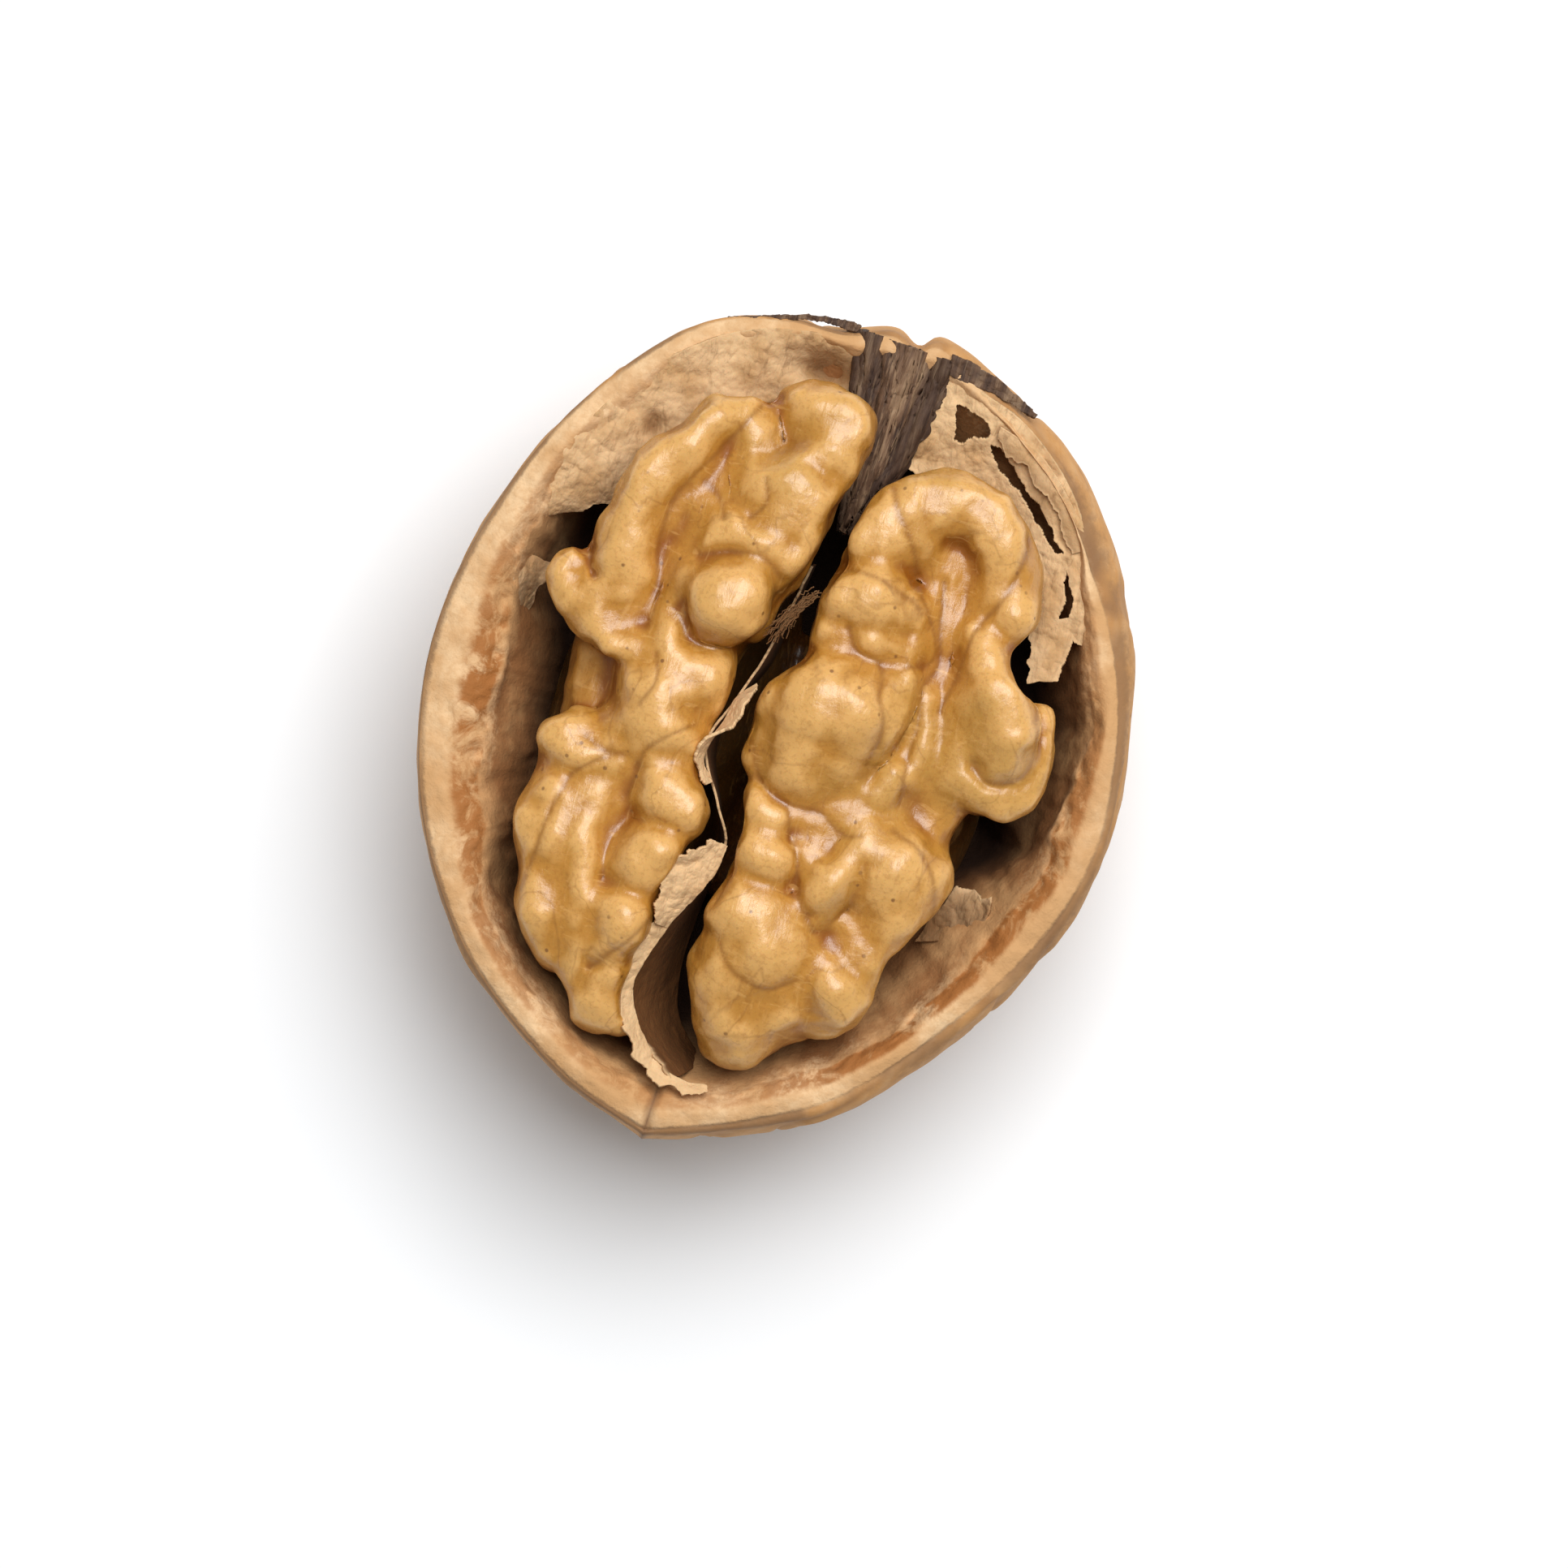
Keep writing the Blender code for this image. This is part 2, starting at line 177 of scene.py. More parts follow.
class RadiusRound:
    """The radius of a closed outline at any angle about Z."""

    def __init__(self, points: Sequence[Place]) -> None:
        """Fits the outline through the points, which go anticlockwise."""
        curve = smooth_curve(points, 1440, closed=True)
        self.angles = np.arctan2(curve[:, 1], curve[:, 0])
        self.radii = np.hypot(curve[:, 0], curve[:, 1])

    def at(self, angle: Points) -> Points:
        """Reads the radius at each angle."""
        return np.interp(angle, self.angles, self.radii, period=2 * math.pi)


def points_of(mesh: bpy.types.Mesh) -> Points:
    """Reads a mesh's vertices, one row each."""
    flat = np.empty(len(mesh.vertices) * 3)
    mesh.vertices.foreach_get("co", flat)
    return flat.reshape(-1, 3)


def move_points(mesh: bpy.types.Mesh, points: Points) -> None:
    """Puts a mesh's vertices at the points."""
    mesh.vertices.foreach_set("co", np.ascontiguousarray(points, np.float32).ravel())
    mesh.update()


def normals_of(mesh: bpy.types.Mesh) -> Points:
    """Reads a mesh's vertex normals, one row each."""
    flat = np.empty(len(mesh.vertices) * 3)
    mesh.vertex_normals.foreach_get("vector", flat)
    return flat.reshape(-1, 3)


def mark(mesh: bpy.types.Mesh, name: str, values: Points) -> None:
    """Stores one number for each vertex, for a material to read."""
    layer = mesh.attributes.new(name, "FLOAT", "POINT")
    layer.data.foreach_set("value", np.ascontiguousarray(values, np.float32))


def relaxed(mesh: bpy.types.Mesh, points: Points, rounds: int) -> Points:
    """Moves each point half way to the middle of its neighbours, several times over.

    Args:
        mesh: The mesh whose edges say which points are neighbours.
        points: Where its vertices are now.
        rounds: How many times to move them.

    Returns:
        Where they end up.
    """
    ends = np.empty(len(mesh.edges) * 2, np.int32)
    mesh.edges.foreach_get("vertices", ends)
    a, b = ends.reshape(-1, 2).T
    count = np.bincount(a, minlength=len(points)) + np.bincount(b, minlength=len(points))
    count = np.maximum(count, 1)[:, None]
    for _ in range(rounds):
        total = np.zeros_like(points)
        for axis in range(3):
            total[:, axis] = np.bincount(a, points[b, axis], len(points))
            total[:, axis] += np.bincount(b, points[a, axis], len(points))
        points = 0.5 * points + 0.5 * total / count
    return points


def grid(name: str, columns: int, rows: int) -> tuple[bpy.types.Mesh, Points, Points]:
    """Makes a flat sheet of squares.

    Args:
        name: The mesh's name.
        columns: Squares along the sheet.
        rows: Squares across it.

    Returns:
        The mesh, and each vertex's place along it and across it, from 0 to 1.
    """
    bm = bmesh.new()
    bmesh.ops.create_grid(bm, x_segments=columns, y_segments=rows, size=0.5)
    mesh = bpy.data.meshes.new(name)
    bm.to_mesh(mesh)
    bm.free()
    flat = points_of(mesh) + 0.5
    return mesh, flat[:, 0], flat[:, 1]


def weld(mesh: bpy.types.Mesh, close: float) -> None:
    """Merges vertices that lie on each other and points the faces outwards.

    Args:
        mesh: The mesh to mend.
        close: How near two vertices are when they are merged.
    """
    bm = bmesh.new()
    bm.from_mesh(mesh)
    bmesh.ops.remove_doubles(bm, verts=bm.verts, dist=close)
    bmesh.ops.recalc_face_normals(bm, faces=bm.faces)
    bm.to_mesh(mesh)
    bm.free()


def pierce(mesh: bpy.types.Mesh, gone: Points) -> None:
    """Takes away the faces whose corners are all gone, and the loose rest.

    Args:
        mesh: The mesh to cut holes in.
        gone: Whether each vertex is gone.
    """
    bm = bmesh.new()
    bm.from_mesh(mesh)
    bm.verts.ensure_lookup_table()
    faces = [f for f in bm.faces if all(gone[v.index] for v in f.verts)]
    bmesh.ops.delete(bm, geom=faces, context="FACES")
    loose = [v for v in bm.verts if not v.link_faces]
    bmesh.ops.delete(bm, geom=loose, context="VERTS")
    bm.to_mesh(mesh)
    bm.free()


def show(
    mesh: bpy.types.Mesh, material: bpy.types.Material, node: str
) -> bpy.types.Object:
    """Turns a mesh in millimetres into a piece of the nut.

    Args:
        mesh: The shape, named as the piece will be.
        material: Its finish.
        node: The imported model's node that the piece stands for.

    Returns:
        The piece, which rides on the nut's one body.
    """
    mesh.transform(Matrix.Scale(MM, 4))
    mesh.materials.clear()
    mesh.materials.append(material)
    mesh.shade_smooth()
    piece = bpy.data.objects.new(mesh.name, mesh)
    bpy.context.scene.collection.objects.link(piece)
    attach(piece, BODY)
    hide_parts(node)
    logger.info("%s: %d vertices", piece.name, len(mesh.vertices))
    return piece


def thicken(piece: bpy.types.Object, wall: float) -> None:
    """Gives a sheet a wall, half on each side.

    Args:
        piece: The sheet.
        wall: The wall's thickness in millimetres.
    """
    wall_modifier = piece.modifiers.new("wall", "SOLIDIFY")
    wall_modifier.thickness = wall * MM
    wall_modifier.offset = 0.0


# ------------------------------------------------------------------------------------- finishes


class Recipe:
    """A material that is put together node by node."""

    def __init__(self, name: str) -> None:
        """Starts from a bare Principled shader.

        Args:
            name: The material's name.
        """
        self.material = bpy.data.materials.new(name)
        self.material.use_nodes = True
        self.tree = self.material.node_tree
        self.shader = self.tree.nodes["Principled BSDF"]
        self.where = self.node("ShaderNodeTexCoord").outputs["Object"]

    def node(self, kind: str, **settings: object) -> bpy.types.Node:
        """Adds a node.

        Args:
            kind: Blender's name for the kind of node.
            **settings: The node's properties.

        Returns:
            The node.
        """
        made = self.tree.nodes.new(kind)
        for key, value in settings.items():
            setattr(made, key, value)
        return made

    def join(self, source: bpy.types.NodeSocket, target: bpy.types.NodeSocket) -> None:
        """Links an output to an input."""
        self.tree.links.new(source, target)

    def put(self, socket: bpy.types.NodeSocket, value: object) -> None:
        """Feeds a socket.

        Args:
            socket: The socket to feed.
            value: Another socket, a colour or a number.
        """
        if isinstance(value, bpy.types.NodeSocket):
            self.join(value, socket)
        elif isinstance(value, tuple):
            socket.default_value = (*value, 1.0)
        else:
            socket.default_value = value

    def attribute(self, name: str) -> bpy.types.NodeSocket:
        """Reads a number that is stored on the vertices."""
        return self.node("ShaderNodeAttribute", attribute_name=name).outputs["Fac"]

    def stretched(self, scale: Place, turn: float = 0.0) -> bpy.types.NodeSocket:
        """Scales and turns the piece's own coordinates.

        Args:
            scale: The scale along each axis.
            turn: The turn about Z, in radians.

        Returns:
            The new coordinates.
        """
        mapping = self.node("ShaderNodeMapping")
        self.join(self.where, mapping.inputs["Vector"])
        mapping.inputs["Scale"].default_value = scale
        mapping.inputs["Rotation"].default_value = (0.0, 0.0, turn)
        return mapping.outputs["Vector"]

    def clouds(
        self,
        size: float,
        detail: float = 4.0,
        rough: float = 0.55,
        warp: float = 0.0,
        where: bpy.types.NodeSocket | None = None,
    ) -> bpy.types.NodeSocket:
        """Adds a cloudy pattern.

        Args:
            size: How wide its largest lumps are, in millimetres.
            detail: How many finer layers it has.
            rough: How strong the finer layers are.
            warp: How much the pattern is bent by itself.
            where: The coordinates it is drawn on, if not the piece's own.

        Returns:
            A number from 0 to 1.
        """
        made = self.node("ShaderNodeTexNoise")
        self.join(where or self.where, made.inputs["Vector"])
        made.inputs["Scale"].default_value = 1.0 / (size * MM)
        made.inputs["Detail"].default_value = detail
        made.inputs["Roughness"].default_value = rough
        made.inputs["Distortion"].default_value = warp
        return made.outputs["Fac"]

    def cells(self, size: float) -> bpy.types.Node:
        """Adds a pattern of cells.

        Args:
            size: How wide a cell is, in millimetres.

        Returns:
            The pattern's node, with the distance to each cell's middle and a colour for each.
        """
        made = self.node("ShaderNodeTexVoronoi", feature="F1")
        self.join(self.where, made.inputs["Vector"])
        made.inputs["Scale"].default_value = 1.0 / (size * MM)
        return made

    def step(self, value: object, low: float, high: float) -> bpy.types.NodeSocket:
        """Goes smoothly from 0 at low to 1 at high.

        Args:
            value: The number to read.
            low: Where the result is 0. It may be above high.
            high: Where the result is 1.

        Returns:
            A number from 0 to 1.
        """
        made = self.node("ShaderNodeMapRange", interpolation_type="SMOOTHSTEP")
        self.put(made.inputs["Value"], value)
        backwards = low > high
        made.inputs["From Min"].default_value = min(low, high)
        made.inputs["From Max"].default_value = max(low, high)
        made.inputs["To Min"].default_value = 1.0 if backwards else 0.0
        made.inputs["To Max"].default_value = 0.0 if backwards else 1.0
        return made.outputs["Result"]

    def maths(
        self, operation: str, a: object, b: object = 0.0, c: object = 0.0
    ) -> bpy.types.NodeSocket:
        """Works out one sum.

        Args:
            operation: Blender's name for the sum.
            a: The first value.
            b: The second value, where the sum has one.
            c: The third value, where the sum has one.

        Returns:
            The result.
        """
        made = self.node("ShaderNodeMath", operation=operation)
        for socket, value in zip(made.inputs, (a, b, c)):
            self.put(socket, value)
        return made.outputs["Value"]

    def ridge(self, value: bpy.types.NodeSocket, half: float) -> bpy.types.NodeSocket:
        """Draws thin lines where a pattern passes through its middle value."""
        off = self.maths("ABSOLUTE", self.maths("SUBTRACT", value, 0.5))
        return self.step(off, half, 0.0)

    def mix(self, share: object, a: object, b: object) -> bpy.types.NodeSocket:
        """Mixes two colours.

        Args:
            share: How much of the second colour there is, from 0 to 1.
            a: The first colour.
            b: The second colour.

        Returns:
            The mixed colour.
        """
        made = self.node("ShaderNodeMix", data_type="RGBA")
        self.put(made.inputs["Factor"], share)
        self.put(made.inputs[6], a)
        self.put(made.inputs[7], b)
        return made.outputs[2]

    def tint(
        self, colour: object, over: Place, where: object, strength: float
    ) -> bpy.types.NodeSocket:
        """Lays a colour over another one where a pattern says, at most at the given strength."""
        return self.mix(self.maths("MULTIPLY", where, strength), colour, over)

    def ramp(self, value: object, stops: Sequence[tuple[float, Place]]) -> bpy.types.NodeSocket:
        """Turns a number into a colour.

        Args:
            value: The number to read.
            stops: The numbers and their colours, from low to high.

        Returns:
            The colour.
        """
        made = self.node("ShaderNodeValToRGB")
        self.put(made.inputs["Fac"], value)
        bar = made.color_ramp
        bar.elements[0].position, bar.elements[1].position = stops[0][0], stops[-1][0]
        bar.elements[0].color, bar.elements[1].color = (*stops[0][1], 1.0), (*stops[-1][1], 1.0)
        for place, colour in stops[1:-1]:
            bar.elements.new(place).color = (*colour, 1.0)
        return made.outputs["Color"]

    def bump(self, layers: Sequence[tuple[bpy.types.NodeSocket, float, float]]) -> None:
        """Raises the surface.

        Args:
            layers: The height, strength and distance in millimetres of each layer.
        """
        below = None
        for height, strength, distance in layers:
            made = self.node("ShaderNodeBump")
            made.inputs["Strength"].default_value = strength
            made.inputs["Distance"].default_value = distance * MM
            self.join(height, made.inputs["Height"])
            if below:
                self.join(below, made.inputs["Normal"])
            below = made.outputs["Normal"]
        self.join(below, self.shader.inputs["Normal"])

    def set(self, **values: object) -> None:
        """Sets the shader's own sockets, with _ for a space in their names."""
        for key, value in values.items():
            self.put(self.shader.inputs[key.replace("_", " ")], value)


@dataclass(frozen=True)
class KernelSkin:
    """The satin skin of the kernel: cream on its ridges, amber in its creases, partly as painted
    shade.
    """

    ridge: Place = (0.74, 0.41, 0.125)
    plain: Place = (0.52, 0.235, 0.036)
    crease: Place = (0.30, 0.095, 0.008)
    shadow: Place = (0.055, 0.018, 0.004)
    vein: Place = (0.24, 0.085, 0.012)
    olive: Place = (0.52, 0.28, 0.06)
    speck: Place = (0.16, 0.055, 0.012)
    roughness: float = 0.32

    def make(self) -> bpy.types.Material:
        """Builds the material.

        Returns:
            The material, which reads relief, vein and deep from the vertices.
        """
        r = Recipe("kernel_skin")
        # The ground colour follows crests and hollows, a little unevenly, with dull olive patches.
        # It is partly the skin's own tone and partly painted shade, darker in hollows and on steep
        # flanks.
        mottle = r.clouds(2.6, 5.0, 0.6)
        height = r.maths("ADD", r.attribute("relief_shade"), r.maths("MULTIPLY_ADD", mottle, 0.34, -0.17))
        colour = r.ramp(
            height, [(0.12, self.crease), (0.42, self.plain), (0.58, self.plain), (0.86, self.ridge)]
        )
        colour = r.tint(colour, self.olive, r.step(r.clouds(8.0, 2.0), 0.5, 0.66), 0.55)
        # Veins, pale streaks and freckles.
        threads = r.ridge(r.clouds(4.2, 3.0, 0.45, 0.5), 0.018)
        threads = r.maths("MULTIPLY", threads, r.step(r.clouds(5.0), 0.38, 0.55))
        colour = r.tint(colour, self.vein, threads, 0.30)
        colour = r.tint(colour, self.vein, r.attribute("vein"), 0.55)
        pale = r.clouds(0.5, 2.0, 0.5, 1.2, r.stretched((0.22, 1.0, 0.6), 0.9))
        colour = r.tint(colour, self.ridge, r.step(pale, 0.60, 0.70), 0.35)
        dots = r.cells(0.95)
        few = r.step(dots.outputs["Color"], 0.46, 0.56)
        spots = r.maths("MULTIPLY", r.step(dots.outputs["Distance"], 0.15, 0.06), few)
        spots = r.maths("MULTIPLY", spots, r.step(r.clouds(6.0), 0.40, 0.50))
        colour = r.tint(colour, self.speck, spots, 0.75)
        # Painted shade: the skin turns nearly black low down, in the gap between the lobes and on
        # the lobes below.
        colour = r.tint(colour, self.shadow, r.attribute("deep"), 0.92)
        # The fine grain of the skin, and fibres that run lengthwise.
        fine = r.clouds(0.22, 4.0, 0.65)
        fibrous = r.clouds(0.55, 5.0, 0.65, 1.2, r.stretched((1.0, 0.20, 0.5), 0.3))
        colour = r.tint(colour, self.crease, r.step(fine, 0.50, 0.62), 0.22)
        colour = r.tint(colour, self.ridge, r.step(fibrous, 0.54, 0.68), 0.30)
        r.set(Base_Color=colour, IOR=1.5, Metallic=0.0, Specular_IOR_Level=0.7)
        r.set(Roughness=r.maths("ADD", self.roughness - 0.08, r.maths("MULTIPLY", fibrous, 0.16)))
        r.set(Subsurface_Weight=0.12, Subsurface_Scale=0.9 * MM)
        r.shader.inputs["Subsurface Radius"].default_value = (1.0, 0.42, 0.14)
        r.bump([(threads, -0.5, 0.08), (fine, 0.35, 0.04), (fibrous, 0.35, 0.10),
                (mottle, 0.35, 0.30)])  # fmt: skip
        return r.material


@dataclass(frozen=True)
class ShellWood:
    """The shell: smooth tan outside, a crumbly cream rim streaked with rust, papery inside."""

    outside: Place = (0.58, 0.29, 0.095)
    furrow: Place = (0.24, 0.10, 0.03)
    cream: Place = (0.85, 0.58, 0.325)
    sand: Place = (0.62, 0.345, 0.145)
    rust: Place = (0.38, 0.14, 0.03)
    edge: Place = (0.20, 0.105, 0.05)
    lining: Place = (0.35, 0.15, 0.05)
    # The painted shade deep in the cavity.
    deep: Place = (0.040, 0.015, 0.005)

    def make(self) -> bpy.types.Material:
        """Builds the material.

        Returns:
            The material, which reads from the vertices how far across the wall they lie: from -1
            to 0 on the outer face, to 1 across the rim and to 2 down the inside.
        """
        r = Recipe("shell_wood")
        crumbs = r.clouds(0.45, 6.0, 0.7)
        patches = r.clouds(4.5, 4.0, 0.6)
        streaks = r.clouds(1.7, 6.0, 0.68, 0.6)
        wander = r.maths("MULTIPLY", r.maths("SUBTRACT", crumbs, 0.5), 0.16)
        place = r.maths("ADD", r.attribute("across"), wander)
        # The rim: cream and sand, with a rusty belt along its inner half.
        rim = r.mix(r.step(patches, 0.38, 0.62), self.cream, self.sand)
        rim = r.tint(rim, self.sand, r.step(crumbs, 0.40, 0.62), 0.45)
        belt = r.maths("MULTIPLY", r.step(place, 0.42, 0.60), r.step(place, 1.04, 0.92))
        tanned = r.maths("MULTIPLY", r.attribute("rust"), r.step(patches, 0.25, 0.6))
        rim = r.tint(rim, self.sand, tanned, 0.75)
        rusty = r.maths("MULTIPLY", belt, r.step(streaks, 0.36, 0.54))
        rim = r.mix(r.maths("MULTIPLY", rusty, r.attribute("rust")), rim, self.rust)
        # The outer face: tan, with dark furrows and thin lines between them.
        thin = r.ridge(r.clouds(3.4, 3.0, 0.5, 0.5, r.stretched((1.0, 0.34, 0.8))), 0.030)
        thin = r.maths("MULTIPLY", thin, r.step(place, -0.10, -0.22))
        furrows = r.maths("MULTIPLY", r.maths("MAXIMUM", r.attribute("furrow"), thin), 0.6)
        grain = r.clouds(0.8, 5.0, 0.6, 0.3, r.stretched((1.0, 0.25, 1.0)))
        outer = r.mix(r.step(grain, 0.4, 0.7), self.outside, self.sand)
        outer = r.tint(outer, self.furrow, furrows, 0.7)
        colour = r.mix(r.step(place, -0.02, 0.05), outer, rim)
        # A dark line, broken in places, where the rim meets the outer face.
        line = r.maths("MULTIPLY", r.step(place, -0.16, -0.04), r.step(place, 0.10, 0.02))
        line = r.maths("MULTIPLY", line, r.step(r.clouds(5.0, 3.0), 0.34, 0.56))
        colour = r.tint(colour, self.edge, line, 0.7)
        # The lining, darkened by painted shade as it goes down into the cavity, and the shell's own
        # seam.
        inner = r.mix(r.step(patches, 0.42, 0.7), self.lining, self.sand)
        inner = r.mix(r.step(r.attribute("depth"), 0.16, 0.62), inner, self.deep)
        colour = r.mix(r.step(place, 0.98, 1.06), colour, inner)
        colour = r.tint(colour, self.edge, r.attribute("seam"), 0.85)
        r.set(Base_Color=colour, Roughness=0.78, IOR=1.45, Metallic=0.0)
        on_rim = r.maths("MULTIPLY", r.step(place, 0.0, 0.1), crumbs)
        r.bump([(on_rim, 0.5, 0.16), (streaks, 0.4, 0.14), (r.clouds(0.16, 3.0), 0.5, 0.05),
                (thin, -0.8, 0.22)])  # fmt: skip
        return r.material


@dataclass(frozen=True)
class Paper:
    """The dry papery tissue of the partition, pale along its torn edges."""

    pale: Place = (0.78, 0.52, 0.28)
    tan: Place = (0.58, 0.345, 0.155)
    brown: Place = (0.15, 0.058, 0.014)

    def make(self) -> bpy.types.Material:
        """Builds the material.

        Returns:
            The material, which reads shade and torn from the vertices.
        """
        r = Recipe("partition_paper")
        blotch = r.clouds(2.4, 5.0, 0.6)
        fibres = r.clouds(0.5, 5.0, 0.65, 0.8, r.stretched((1.0, 0.3, 0.8), 0.5))
        colour = r.mix(r.step(blotch, 0.36, 0.66), self.pale, self.tan)
        colour = r.tint(colour, self.brown, r.step(fibres, 0.5, 0.72), 0.45)
        # Painted shade: the paper turns brown where it lies in shade.
        colour = r.mix(r.attribute("shade"), colour, self.brown)
        colour = r.tint(colour, self.pale, r.attribute("torn"), 0.75)
        r.set(Base_Color=colour, Roughness=0.86, IOR=1.42, Metallic=0.0)
        r.set(Subsurface_Weight=0.06, Subsurface_Scale=0.5 * MM)
        r.bump([(fibres, 0.6, 0.16), (blotch, 0.5, 0.35), (r.clouds(0.14, 3.0), 0.4, 0.05)])
        return r.material


@dataclass(frozen=True)
class StemFibre:
    """The dark fibres at the stem, streaked lengthwise."""

    dark: Place = (0.045, 0.022, 0.014)
    brown: Place = (0.16, 0.085, 0.045)
    light: Place = (0.40, 0.26, 0.15)

    def make(self) -> bpy.types.Material:
        """Builds the material.

        Returns:
            The material, which reads shade from the vertices.
        """
        r = Recipe("stem_fibre")
        long = r.clouds(0.55, 6.0, 0.65, 0.4, r.stretched((1.0, 0.10, 0.4)))
        thin = r.clouds(0.16, 4.0, 0.6, 0.2, r.stretched((1.0, 0.08, 0.4)))
        colour = r.ramp(long, [(0.36, self.dark), (0.52, self.brown), (0.70, self.light)])
        colour = r.tint(colour, self.light, r.step(thin, 0.5, 0.66), 0.5)
        colour = r.tint(colour, self.dark, r.attribute("shade"), 0.8)
        r.set(Base_Color=colour, Roughness=0.72, IOR=1.45, Metallic=0.0)
        r.bump([(thin, 0.7, 0.10), (long, 0.7, 0.3)])
        return r.material


@dataclass(frozen=True)
class FloorPaint:
    """The plain pale floor, very faintly clouded."""

    white: Place = (0.93, 0.95, 0.97)
    clouded: Place = (0.925, 0.945, 0.965)

    def make(self) -> bpy.types.Material:
        """Builds the material.

        Returns:
            The material.
        """
        r = Recipe("floor_white")
        faint = r.mix(r.step(r.clouds(40.0, 3.0), 0.3, 0.7), self.white, self.clouded)
        r.set(Base_Color=faint, Roughness=0.9, Metallic=0.0)
        return r.material


# --------------------------------------------------------------------------------------- kernel

# A fold is a chain of places along its crest: x, y, height of its top, and how round it is.
Fold = list[Place]
# A body is the plump flesh under the folds: its centre, half sizes and turn about Z in degrees.
Body = tuple[Place, Place, float]

LEFT_FOLDS: dict[str, Fold] = {
    "bulb": [(-3.5, 15.9, 20.6, 1.8), (-2.6, 15.4, 21.0, 2.3), (-1.5, 15.0, 21.3, 2.5),
             (-1.5, 13.8, 21.3, 2.2)],
    "upper_step": [(-1.4, 12.6, 21.2, 2.0), (-2.4, 11.5, 22.1, 2.3), (-2.3, 10.1, 22.0, 2.2)],
    "upper_step_left": [(-3.9, 11.1, 21.4, 1.7), (-3.9, 9.9, 21.2, 1.6)],
    "middle_step": [(-4.4, 8.7, 21.6, 1.8), (-3.2, 8.5, 21.9, 1.9), (-2.2, 8.3, 21.5, 1.7)],
    "neck": [(-5.2, 7.7, 21.1, 1.5), (-5.5, 6.4, 21.0, 1.6)],
    "ball": [(-3.95, 5.5, 23.1, 2.25)],
    "collar": [(-5.6, 5.2, 20.9, 1.5), (-6.1, 4.1, 20.6, 1.4), (-4.6, 3.6, 20.4, 1.6)],
    "inner_flank": [(-1.4, 10.6, 20.2, 1.9), (-1.7, 8.2, 20.2, 1.9), (-2.4, 5.4, 20.0, 1.8)],
    "outer_crest": [(-5.9, 14.3, 20.6, 1.5), (-7.2, 13.6, 21.0, 1.9), (-8.3, 12.0, 21.3, 2.2),
                    (-9.1, 10.4, 21.2, 2.3), (-9.5, 8.6, 21.0, 2.3), (-9.6, 6.6, 20.8, 2.3),
                    (-9.2, 4.7, 20.5, 2.2), (-8.7, 3.6, 20.1, 1.8)],
    "ear": [(-12.0, 5.0, 19.5, 1.1), (-12.1, 4.0, 19.7, 1.3), (-11.3, 3.1, 20.0, 1.5),
            (-10.0, 2.9, 20.2, 1.6)],
    "crest_branch": [(-5.3, 13.6, 20.4, 1.3), (-4.8, 12.4, 20.5, 1.3)],
    "trough_lump": [(-6.6, 9.6, 20.5, 1.9)],
    "trough": [(-5.8, 12.4, 19.8, 2.4), (-6.4, 10.4, 20.0, 2.6), (-6.8, 8.4, 20.0, 2.4),
               (-6.9, 5.8, 19.4, 2.1)],
    "waist": [(-4.2, 1.2, 21.3, 2.3), (-5.7, 0.3, 21.5, 2.4), (-5.1, -1.2, 21.5, 2.3)],
    "waist_left": [(-6.2, 2.4, 20.9, 1.5), (-7.4, 2.0, 20.6, 1.2), (-8.6, 1.7, 20.3, 0.8)],
    "waist_low": [(-4.0, -2.2, 21.0, 2.0), (-6.4, -2.2, 20.6, 2.0)],
    "slope": [(-9.2, 0.8, 17.4, 2.1), (-9.0, -1.2, 17.4, 2.0)],
    "knob": [(-9.4, -3.4, 20.3, 2.0), (-8.5, -3.7, 20.3, 2.0)],
    "rim_low": [(-9.5, -5.8, 19.6, 1.9), (-9.6, -7.8, 19.9, 1.9), (-9.0, -9.6, 19.6, 1.8)],
    "rim_crest": [(-8.7, -5.8, 20.1, 1.6), (-8.6, -7.6, 20.3, 1.7), (-8.4, -9.6, 20.1, 1.8),
                  (-8.0, -11.4, 20.0, 2.1), (-7.2, -12.9, 19.4, 1.9)],
    "long_crest": [(-7.5, -6.0, 20.5, 1.4), (-7.0, -8.8, 20.5, 1.5), (-6.4, -11.2, 20.3, 1.5),
                   (-5.8, -13.2, 19.7, 1.5), (-5.3, -14.6, 19.0, 1.3)],
    "plain": [(-6.1, -3.6, 20.2, 2.6), (-5.8, -7.8, 19.6, 2.4), (-5.4, -11.6, 19.0, 2.1)],
    "inner_a": [(-2.9, -4.8, 21.4, 2.0), (-4.0, -4.4, 21.3, 1.8)],
    "inner_b": [(-3.4, -7.4, 21.6, 2.1), (-4.0, -8.2, 21.4, 1.9)],
    "inner_c": [(-4.2, -10.9, 21.4, 2.2), (-4.6, -11.9, 20.9, 1.9)],
    "inner_d": [(-4.1, -13.4, 20.2, 1.8), (-4.1, -14.6, 19.6, 1.7)],
    "tail": [(-4.6, -15.3, 18.8, 1.7), (-3.6, -15.6, 18.6, 1.6), (-2.8, -15.4, 18.2, 1.3)],
}  # fmt: skip
LEFT_BODIES: list[Body] = [
    ((-6.0, 6.6, 16.2), (4.3, 8.8, 3.2), -6.0),
    ((-2.6, 11.5, 17.4), (2.4, 5.6, 3.2), -8.0),
    ((-6.2, -7.0, 16.2), (3.8, 8.2, 3.0), -12.0),
    ((-5.4, -0.5, 17.6), (2.6, 5.0, 2.8), -4.0),
]
